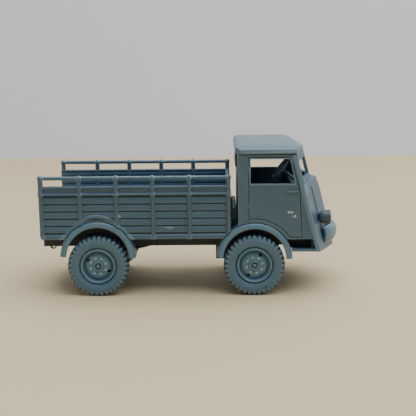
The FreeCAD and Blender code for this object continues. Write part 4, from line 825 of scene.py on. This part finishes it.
def board_face(board):
    """One board from its foot to the groove over it. The last one ends at the moulding."""
    foot = FIRST_BOARD + board * BOARD_PITCH
    last = board == BOARD_COUNT - 1
    top = (SECOND_MOULDING if last else foot + BOARD_PITCH) - GROOVE_WIDTH
    face = [(-GROOVE, foot - 0.04), (-0.02, foot), (0.07, foot + 0.07), (0.09, foot + 0.3)]
    return face + [(0.05, top - 0.22), (0.01, top - 0.09), (-0.08, top - 0.02), (-GROOVE, top)]


def slat_face(slat):
    """One groove between the narrow inner slats, from its upper edge down."""
    middle = INNER_TOP - slat * INNER_PITCH
    upper = [(0.12, middle + 0.19), (0.08, middle + 0.12), (-0.08, middle + 0.1)]
    return upper + [(-0.08, middle - 0.1), (0.1, middle - 0.12), (0.13, middle - 0.19)]


def side_section():
    """The outline of the right side across the bed, outwards first, in millimetres."""
    outer = [(0.12, BED_BOTTOM), (0.24, BED_BOTTOM + 0.08), (0.30, BED_BOTTOM + 0.3)]
    outer += [(0.31, BED_BOTTOM + 0.6), (0.30, SILL_TOP - 0.32), (0.23, SILL_TOP - 0.12)]
    outer += [(0.08, SILL_TOP), (-GROOVE, SILL_TOP + 0.02)]
    for board in range(BOARD_COUNT):
        outer += board_face(board)
    outer += [(-GROOVE, SECOND_MOULDING - 0.02)]
    outer += bead(SECOND_MOULDING, SECOND_MOULDING + 0.64, 0.42)
    outer += [(-0.06, SECOND_MOULDING + 0.68), (-0.06, PANEL_TOP - 0.58)]
    outer += bead(PANEL_TOP - 0.52, PANEL_TOP - 0.02, 0.26)
    inner = bead(PANEL_TOP - 0.44, PANEL_TOP - 0.02, 0.16)[::-1]
    for slat in range(INNER_COUNT):
        inner += slat_face(slat)
    inner += [(0.13, SILL_TOP), (0.0, SILL_TOP - 0.1), (0.0, BED_BOTTOM)]
    outside = [(-(PANEL_OUT + relief), height) for relief, height in outer]
    return outside + [(relief - PANEL_IN, height) for relief, height in inner]


print("side section:", len(side_section()), "points")


# %% Cutters for the sides
def cutter(name, section, low=-16.0, high=-12.0):
    """A tool that goes right through the truck's right side, or to a depth."""
    return extruded(name, section, low, high)


def arch_tools():
    """Fresh cutters for the notch over the front wheel and for the rear wheel's arch."""
    tools = []
    for shape in GUARDS.values():
        x, z = shape["centre"]
        tools.append(moved(rod("arch", ARCH_RADIUS, 9.0, 16.0, 96), (x, 0, z), 90, "X"))
    return tools


def bed_tools():
    """The arch cutters, and one that rounds the lower rear corner."""
    x, z = BED_REAR + CORNER_RADIUS, BED_BOTTOM + CORNER_RADIUS
    corner = [(BED_REAR - 1, z), (BED_REAR - 1, BED_BOTTOM - 1), (x, BED_BOTTOM - 1)]
    corner += arc((x, z), CORNER_RADIUS, 270, 180, 12)
    return arch_tools() + [cutter("corner", corner)]


# %% [markdown]
# ## Posts, arch moulding and rail
# On the real mould these are cut over the boards, so here they are closed
# shapes that stand in the boards. A post is lathed once, and the row tree sets
# it on its six places. The moulding is one section carried round an arc.

# %% Posts and mouldings
POST_RADIUS = 0.54
COLLAR_RADIUS = 0.64
BALL_HEIGHT = 0.6
MOULDING_CENTRE = (GUARDS["rear"]["centre"][0], 11.5)
MOULDING_RADIUS = 6.9
MOULDING_START = 47
MOULDING_SECTION = (
    (0.0, -0.2), (0.0, 0.06), (0.08, 0.22), (0.22, 0.31),
    (0.44, 0.33), (0.66, 0.28), (0.8, 0.16), (0.8, -0.2),
)
INNER_POST = [(-0.45, 0.1), (0.45, 0.1), (0.45, -0.3), (0.37, -0.4), (-0.37, -0.4), (-0.45, -0.3)]
INNER_POST_FOOT = 13.57


def post():
    """A round post with a foot, a collar at the second moulding and a ball on top."""
    collar = SECOND_MOULDING + 0.33
    section = [(0.0, BED_BOTTOM), (0.50, BED_BOTTOM), (POST_RADIUS, BED_BOTTOM + 0.04)]
    section += [(POST_RADIUS, collar - 0.5), (0.60, collar - 0.42), (COLLAR_RADIUS, collar - 0.28)]
    section += [(COLLAR_RADIUS, collar + 0.28), (0.60, collar + 0.42), (0.53, collar + 0.5)]
    section += [(0.52, RAIL_Z - 0.6), (0.55, RAIL_Z - 0.48)]
    section += arc((0.0, RAIL_Z), COLLAR_RADIUS, -38, 90, 8, BALL_HEIGHT / COLLAR_RADIUS)
    return lathe("post", section, 20)


def post_row():
    """The posts of one side, set on their places by the row tree."""
    places = bpy.data.meshes.new("post_places")
    places.from_pydata([(x * MM, -PANEL_OUT * MM, 0) for x in POST_PLACES], [], [])
    base = scratch_object("post_places", places)
    one_post = scratch_object("post", post())
    posts = grown(base, row, {"Copy": one_post, "Material": body_plastic})
    posts.materials.clear()
    bpy.data.objects.remove(base)
    bpy.data.objects.remove(one_post)
    return posts


def arch_moulding():
    """The moulding over the wheel: an arc that runs out in two straight feet."""
    slope = math.tan(math.radians(90 - MOULDING_START))
    lines = []
    for inset, relief in MOULDING_SECTION:
        radius = MOULDING_RADIUS - inset
        curve = arc(MOULDING_CENTRE, radius, MOULDING_START, 180 - MOULDING_START, 24)
        foot = (curve[0][1] - BED_BOTTOM) / slope
        path = [(curve[0][0] + foot, BED_BOTTOM)] + curve + [(curve[-1][0] - foot, BED_BOTTOM)]
        lines.append([(x, -(PANEL_OUT + relief), z) for x, z in path])
    return skinned("arch_moulding", list(zip(*lines)))


def inner_posts():
    """Flat posts on the inside of the boards."""
    plans = [[(x + a, -(PANEL_IN + b)) for a, b in INNER_POST] for x in POST_PLACES[1:-1]]
    top = PANEL_TOP - 0.02
    posts = [extruded("inner_post", plan, INNER_POST_FOOT, top, "z") for plan in plans]
    return joined("inner_posts", posts)


# %% Join the sides
def bed_side():
    boards = extruded("boards", side_section(), BED_REAR, BED_FRONT, "x")
    rail = rod("rail", RAIL_RADIUS, POST_PLACES[0], POST_PLACES[-1], 20)
    pieces = [
        carved("boards", boards, bed_tools()),
        carved("posts", post_row(), bed_tools()),
        carved("arch_moulding", arch_moulding(), arch_tools()[1:]),
        carved("inner_posts", inner_posts(), arch_tools()),
        moved(rail, (0, -PANEL_OUT, RAIL_Z), 90, "Y"),
    ]
    return coated(joined("planked_side", pieces), body_plastic)


finished_pair("planked_side", bed_side(), "bed_side")

# %% [markdown]
# ## Cab sides and steps
# The side of the cab is a flat wall with a window hole, a well for the step and
# the arch of the mudguard. The door is only a groove round its edge, two hinge
# barrels and a bar for a handle. A thin frame stands round the window, and a
# rounded strip covers the raked corner from the roof to the step. The step is a
# tray with an inner wall, which hides the wheel and the nose behind it. Holes
# and lines are cut by tools that go through the wall, or to a depth in it.

# %% Measures of the cab
CAB_OUT = 13.85
CAB_IN = 13.10
CAB_REAR = 10.70
WALL_TOP = 31.54
STEP_BOTTOM = 9.95
STEP_TOP = 10.5
STRIP_WIDTH = 1.0
WINDOW_SILL = 25.1
WINDOW = [(13.45, WINDOW_SILL), (23.05, WINDOW_SILL), (22.05, 30.5), (13.45, 30.5)]
WINDOW_FRAME = [(13.18, 24.76), (23.34, 24.76), (22.3, 30.76), (13.18, 30.76)]
CORNER_AT_SILL = 24.85
CORNER_RAKE = 0.262
DOOR_REAR, DOOR_FRONT, DOOR_LOW, DOOR_BEND, DOOR_TOP = 12.95, 24.88, 13.1, 23.6, 31.0
DOOR_TO_GUARD = 0.75
DOOR_LINE = 0.25
LINE_DEPTH = 0.34
WELL_REAR, WELL_TOP = 19.29, 12.75
SHADE_LOW, SHADE_DEPTH = 31.34, 0.4
HINGE_HEIGHTS = (19.6, 27.6)


def on_corner(z, back=0.0):
    """The point of the cab's raked corner at a height, or one behind it."""
    return (CORNER_AT_SILL + CORNER_RAKE * (WINDOW_SILL - z) - back, z)


def door_outline(inset):
    """The door's edge: it rounds the mudguard and follows the corner strip."""
    x, z = GUARDS["front"]["centre"]
    radius = GUARD_OUTER + DOOR_TO_GUARD + inset
    rear, low, top = DOOR_REAR + inset, DOOR_LOW + inset, DOOR_TOP - inset
    start = math.degrees(math.acos((rear - x) / radius))
    stop = math.degrees(math.asin((low - z) / radius))
    slack = STRIP_WIDTH + inset
    edge = [(rear, top)] + arc((x, z), radius, start, stop, 24) + [(DOOR_FRONT - inset, low)]
    return edge + [on_corner(DOOR_BEND, slack), on_corner(top, slack)]


print("the corner stands at", [round(on_corner(z)[0], 2) for z in (STEP_BOTTOM, WALL_TOP)], "mm")


# %% Cab sides
def side_wall():
    foot, top = on_corner(STEP_BOTTOM), on_corner(WALL_TOP)
    wall = [(CAB_REAR, STEP_BOTTOM), foot, top, (CAB_REAR, WALL_TOP)]
    well = [(WELL_REAR, STEP_TOP), on_corner(STEP_TOP, STRIP_WIDTH)]
    well += [on_corner(WELL_TOP, STRIP_WIDTH), (WELL_REAR, WELL_TOP)]
    shade = [(9.0, SHADE_LOW), (27.0, SHADE_LOW), (27.0, 32.0), (9.0, 32.0)]
    line = cutter("door_edge", door_outline(0.0), -15.0, LINE_DEPTH - CAB_OUT)
    tools = [
        cutter("window", WINDOW),
        cutter("well", well),
        cutter("shade_line", shade, -16.0, SHADE_DEPTH - CAB_OUT),
        carved("door_line", line, [cutter("door_inside", door_outline(DOOR_LINE))]),
        arch_tools()[0],
    ]
    return carved("side_wall", extruded("side_wall", wall, -CAB_OUT, -CAB_IN), tools)


def window_frame():
    block = extruded("frame", WINDOW_FRAME, -CAB_OUT - 0.12, -CAB_OUT + 0.1)
    return carved("window_frame", block, [cutter("window", WINDOW)])


def corner_strip():
    """A rounded strip that covers the raked corner."""
    section = outline((-1.0, 13.6), (-1.0, 13.93), ((-0.96, 14.10), (-0.64, 14.14), 3))
    section += outline((-0.36, 14.14), ((-0.04, 14.10), (0.0, 13.93), 3), (0.0, 13.6))
    heights = (STEP_BOTTOM, 31.3)
    rows = [[(on_corner(z, -ahead)[0], -y, z) for ahead, y in section] for z in heights]
    return skinned("corner_strip", rows)


def barrel(radius, length, end):
    """A round bar with softened ends, lying along Z."""
    half = [(0.0, 0.0), (radius - end, 0.0), (radius, end)]
    return lathe("barrel", half + [(r, length - along) for r, along in half[::-1]], 16)


def cab_side():
    pieces = [side_wall(), window_frame()]
    for z in HINGE_HEIGHTS:
        pieces.append(moved(barrel(0.28, 1.2, 0.06), (12.98, -CAB_OUT, z)))
    pieces.append(moved(barrel(0.25, 2.6, 0.1), (21.29, -CAB_OUT - 0.1, 23.3), 90, "Y"))
    side = coated(joined("door_side", pieces), body_plastic)
    # The corner strip takes the paler plastic: a painted highlight on its round.
    return joined("door_side", [side, coated(corner_strip(), paler_lit_plastic)])


finished_pair("door_side", cab_side(), "cab_side")

# %% Steps
STEP_REAR, STEP_OUT, STEP_IN = 22.77, -13.07, -9.67
STEP_WALL_REAR, STEP_WALL_LOW, STEP_WALL_TOP = 20.95, 10.3, 12.87
STEP_END_REAR = 26.84
STEP_BACK = 0.7
STEP_WALL = 0.5


def step():
    """A tray, its inner wall and its front end."""
    foot, top = on_corner(STEP_BOTTOM, STEP_BACK), on_corner(STEP_WALL_TOP, STEP_BACK)
    rim = on_corner(STEP_TOP, STEP_BACK)
    tray = [(STEP_REAR, STEP_BOTTOM), foot, rim, (STEP_REAR, STEP_TOP)]
    wall = [(STEP_WALL_REAR, STEP_WALL_LOW), (STEP_REAR, STEP_BOTTOM), foot, top]
    wall += [(STEP_WALL_REAR, STEP_WALL_TOP)]
    end = [(STEP_END_REAR, STEP_BOTTOM), foot, top, (STEP_END_REAR, STEP_WALL_TOP)]
    pieces = [
        coated(extruded("tray", tray, STEP_OUT, STEP_IN), body_plastic),
        # The step's inner wall and front end are painted dark as shade.
        coated(extruded("wall", wall, STEP_IN - STEP_WALL, STEP_IN), shaded_plastic),
        coated(extruded("end", end, STEP_OUT, STEP_IN), shaded_plastic),
    ]
    return joined("step", pieces)


finished_pair("step_tray", step(), "step")

# %% [markdown]
# ## Roof
# The roof is a pillow: it swells to the middle, rolls over along the sides and
# at the rear, ends in a small bead, and is drawn down to a pointed peak over
# the windscreen. Three outlines are drawn out and what they share is kept,
# which gives the true corners. A hollow is left below.

# %% Roof
ROOF_HALF_SECTION = outline(
    (13.30, 31.56), (13.84, 31.58), ((14.13, 31.62), (14.14, 31.82), 2),
    ((14.15, 32.01), (14.03, 32.08), 2), ((13.89, 33.02), (12.50, 33.22), 6),
    ((11.06, 33.53), (2.00, 33.55), 5),
)
ROOF_PROFILE = outline(
    (10.60, 31.56), ((10.01, 31.53), (10.05, 32.00), 3), ((9.94, 33.45), (12.20, 33.51), 7),
    (13.60, 33.56), (20.80, 33.56), ((21.80, 33.56), (22.90, 33.12), 3),
    (25.90, 31.98), (26.08, 31.82), (26.13, 31.56),
)
ROOF_PLAN = outline(
    (10.04, 0.0), (10.04, 11.60), ((9.99, 14.10), (12.40, 14.15), 6), (22.70, 14.15),
    ((23.49, 14.17), (23.56, 13.30), 3), (25.94, 1.00), (26.10, 0.40), (26.14, 0.0),
)
ROOF_HOLLOW = [(11.45, -12.6), (21.9, -12.6), (21.9, 12.6), (11.45, 12.6)]
HOLLOW_TOP = 32.4
ROOF_SMOOTH_BELOW = 32


def roof():
    section = ROOF_HALF_SECTION + [(-y, z) for y, z in ROOF_HALF_SECTION[::-1]]
    plan = ROOF_PLAN + [(x, -y) for x, y in ROOF_PLAN[-2:0:-1]]
    slab = extruded("roof_section", section, 9.0, 27.0, "x")
    profile = extruded("roof_profile", ROOF_PROFILE, -15.0, 15.0)
    block = extruded("roof_plan", plan, 31.0, 34.0, "z")
    slab = carved("roof_slab", slab, [profile, block], "INTERSECT")
    hollow = extruded("roof_hollow", ROOF_HOLLOW, 31.0, HOLLOW_TOP, "z")
    # The roof takes the paler plastic, a painted highlight.
    return coated(carved("roof", slab, [hollow]), lit_roof_plastic)


finished_piece("pillow_roof", roof(), "truck", "cab_roof", ROOF_SMOOTH_BELOW)

# %% [markdown]
# ## Headlights and bumper
# Each headlight is a lathed bowl with a rim and a lens seat a little inside it.
# The bumper is a bowed channel, open at the rear and at its ends, so it is one
# rounded section swept through a shallow arc.

# %% Headlights and bumper
LAMP_PLACE = (0.0, -8.6, 16.7)
LAMP_SECTION = outline(
    (0.0, 28.99), (0.66, 28.99), ((1.62, 29.01), (1.54, 31.02), 6),
    (1.61, 31.06), (1.62, 31.14), (1.62, 31.42), (1.58, 31.49), (1.44, 31.49),
    (1.38, 31.44), (1.37, 31.30), (1.10, 31.30), (0.60, 31.37), (0.0, 31.40),
)
BUMPER_RADIUS = 13.61
BUMPER_CENTRE = 34.05 - BUMPER_RADIUS
BUMPER_SWEEP = 82.8
BUMPER_SECTION = outline(
    (1.50, 10.35), (0.90, 10.35), ((0.49, 10.42), (0.24, 11.16), 3), (0.30, 11.28),
    (0.16, 11.42), ((-0.07, 11.97), (0.03, 12.56), 3), (0.12, 12.66),
    (0.04, 12.78), ((0.18, 13.86), (0.78, 14.05), 4), (1.50, 14.05),
    (1.50, 13.72), ((0.71, 13.86), (0.70, 12.60), 3), (0.70, 11.80),
    ((0.70, 10.59), (1.50, 10.68), 3),
)


def headlight():
    bowl = lathe("headlight", LAMP_SECTION, 48)
    # The bowl takes the darker plastic, a painted shade.
    return coated(moved(bowl, LAMP_PLACE, 90, "Y"), shaded_lamp_plastic)


def bumper():
    section = [(BUMPER_RADIUS - inset, height) for inset, height in BUMPER_SECTION]
    channel = lathe("bumper", section, 60, -BUMPER_SWEEP / 2, BUMPER_SWEEP)
    # The bumper takes the paler plastic: painted light.
    return coated(moved(channel, (BUMPER_CENTRE, 0, 0)), paler_lit_plastic)


finished_pair("lathed_headlight", headlight(), "headlight")
finished_piece("channel_bumper", bumper(), "truck", "front_bumper")

# %% [markdown]
# ## Steering wheel
# Seen through the open window: a ring, three spokes and a column. The ring
# is a lathed circle, and the spokes are small rounded bars turned about it.

# %% Steering wheel
WHEEL_PLACE = (20.35, -7.0, 27.5)
WHEEL_LEAN = -53.0
RING_RADIUS = 2.42
RING_TUBE = 0.48
RING_SQUASH = 0.8
SPOKE_TURNS = (180, 300, 60)
HALF_SPOKE = [(-0.22, -0.08), (-0.14, -0.15), (0.14, -0.15), (0.22, -0.08)]
HUB_SECTION = [(0.0, -0.2), (0.52, -0.2), (0.55, 0.0), (0.5, 0.18), (0.3, 0.25), (0.0, 0.25)]


def steering():
    tube = arc((RING_RADIUS, 0.0), RING_TUBE, 0, 330, 11, RING_SQUASH)
    pieces = [lathe("ring", tube, 48), rod("column", 0.36, -5.2, -0.2, 20)]
    pieces.append(lathe("hub", HUB_SECTION, 20))
    section = HALF_SPOKE + [(-a, -b) for a, b in HALF_SPOKE]
    for turn in SPOKE_TURNS:
        spoke = extruded("spoke", section, 0.3, RING_RADIUS, "x")
        pieces.append(moved(spoke, (0, 0, 0), turn))
    return coated(moved(joined("steering", pieces), WHEEL_PLACE, WHEEL_LEAN, "Y"), body_plastic)


finished_piece("steering_ring", steering(), "truck", "steering_wheel")

# %% [markdown]
# ## Finishes for the rest
# The other solids keep the shape they were built with. Each takes the plastic
# of its place: paler on the roof as a painted highlight, and matt and darker
# below and inside as painted shade, where less light reaches.

# %% Finish the carried-over solids
FINISHES = {
    "moulded_body": body_plastic,
    "moulded_roof": lit_roof_plastic,
    "moulded_tyre": tyre_plastic,
    "moulded_wheel": body_plastic,
    "moulded_chassis": shaded_plastic,
    "moulded_interior": shaded_inside_plastic,
}


def finish_solids():
    slots = {part["node"]: part["material_slot"] for part in frame["record"]["subparts"]}
    for name, node in frame["nodes"].items():
        node.data.materials.clear()
        node.data.materials.append(FINISHES[slots[name]])
    print("finished solids:", len(slots))


finish_solids()

# %% [markdown]
# ## Floor, wall and light
# The model stands on a pale floor that ends 24 centimetres behind it, where a
# pale wall stands. The wall glows a little, as one does that other lamps light.
# The main light is wide and soft and hangs above the model and a little ahead
# of it, so the roof is more than three times as bright as the doors. A weak
# fill from the camera's side and a dim room keep the grooves nearly black.

# %% Floor, wall and light
FLOOR_HALF = 3.0
FLOOR_BACK = 0.238
WALL_HEIGHT = 2.0
AIM = (0, 0, 0.01)
OVERHEAD = {"place": (0.16, 0.03, 0.64), "size": 0.95, "power": 10.8, "colour": "F0F6FF"}
FILL = {"place": (-0.25, -0.60, 0.30), "size": 0.40, "power": 0.25, "colour": "F4F8FF"}


def stage_sheet(name, corners, colour, roughness, glow=0.0):
    """A flat sheet of the surroundings, which isn't part of the model."""
    sheet = scratch_object(name, new_mesh(name, corners, [(0, 1, 2, 3)]))
    material = bpy.data.materials.new(name + "_card")
    material.use_nodes = True
    shader = material.node_tree.nodes["Principled BSDF"]
    shader.inputs["Base Color"].default_value = linear(colour)
    shader.inputs["Roughness"].default_value = roughness
    shader.inputs["Emission Color"].default_value = linear(colour)
    shader.inputs["Emission Strength"].default_value = glow
    coated(sheet.data, material)


def make_lamp(name, place, size, power, colour):
    """A square area lamp that points at the model."""
    data = bpy.data.lights.new(name, "AREA")
    data.shape = "SQUARE"
    data.size = size
    data.energy = power
    data.color = linear(colour)[:3]
    lamp = bpy.data.objects.new(name, data)
    bpy.context.scene.collection.objects.link(lamp)
    direction = Vector(AIM) - Vector(place)
    lamp.rotation_euler = direction.to_track_quat("-Z", "Y").to_euler()
    lamp.location = place


def make_surrounding(colour, strength):
    """The dim light that a room sends from all sides."""
    world = bpy.data.worlds.new("dim_room")
    bpy.context.scene.world = world
    world.use_nodes = True
    background = world.node_tree.nodes["Background"]
    background.inputs["Color"].default_value = linear(colour)
    background.inputs["Strength"].default_value = strength


low, high, back, top = -FLOOR_HALF, FLOOR_HALF, FLOOR_BACK, WALL_HEIGHT
floor = [(low, low, 0), (high, low, 0), (high, back, 0), (low, back, 0)]
wall = [(low, back, 0), (high, back, 0), (high, back, top), (low, back, top)]
stage_sheet("floor", floor, "DEC69A", 0.7)
stage_sheet("wall", wall, "D9DCE6", 0.8, 0.25)
make_lamp("overhead", **OVERHEAD)
make_lamp("fill", **FILL)
make_surrounding("D2E0F2", 0.17)
print("lights:", len(bpy.data.lights))
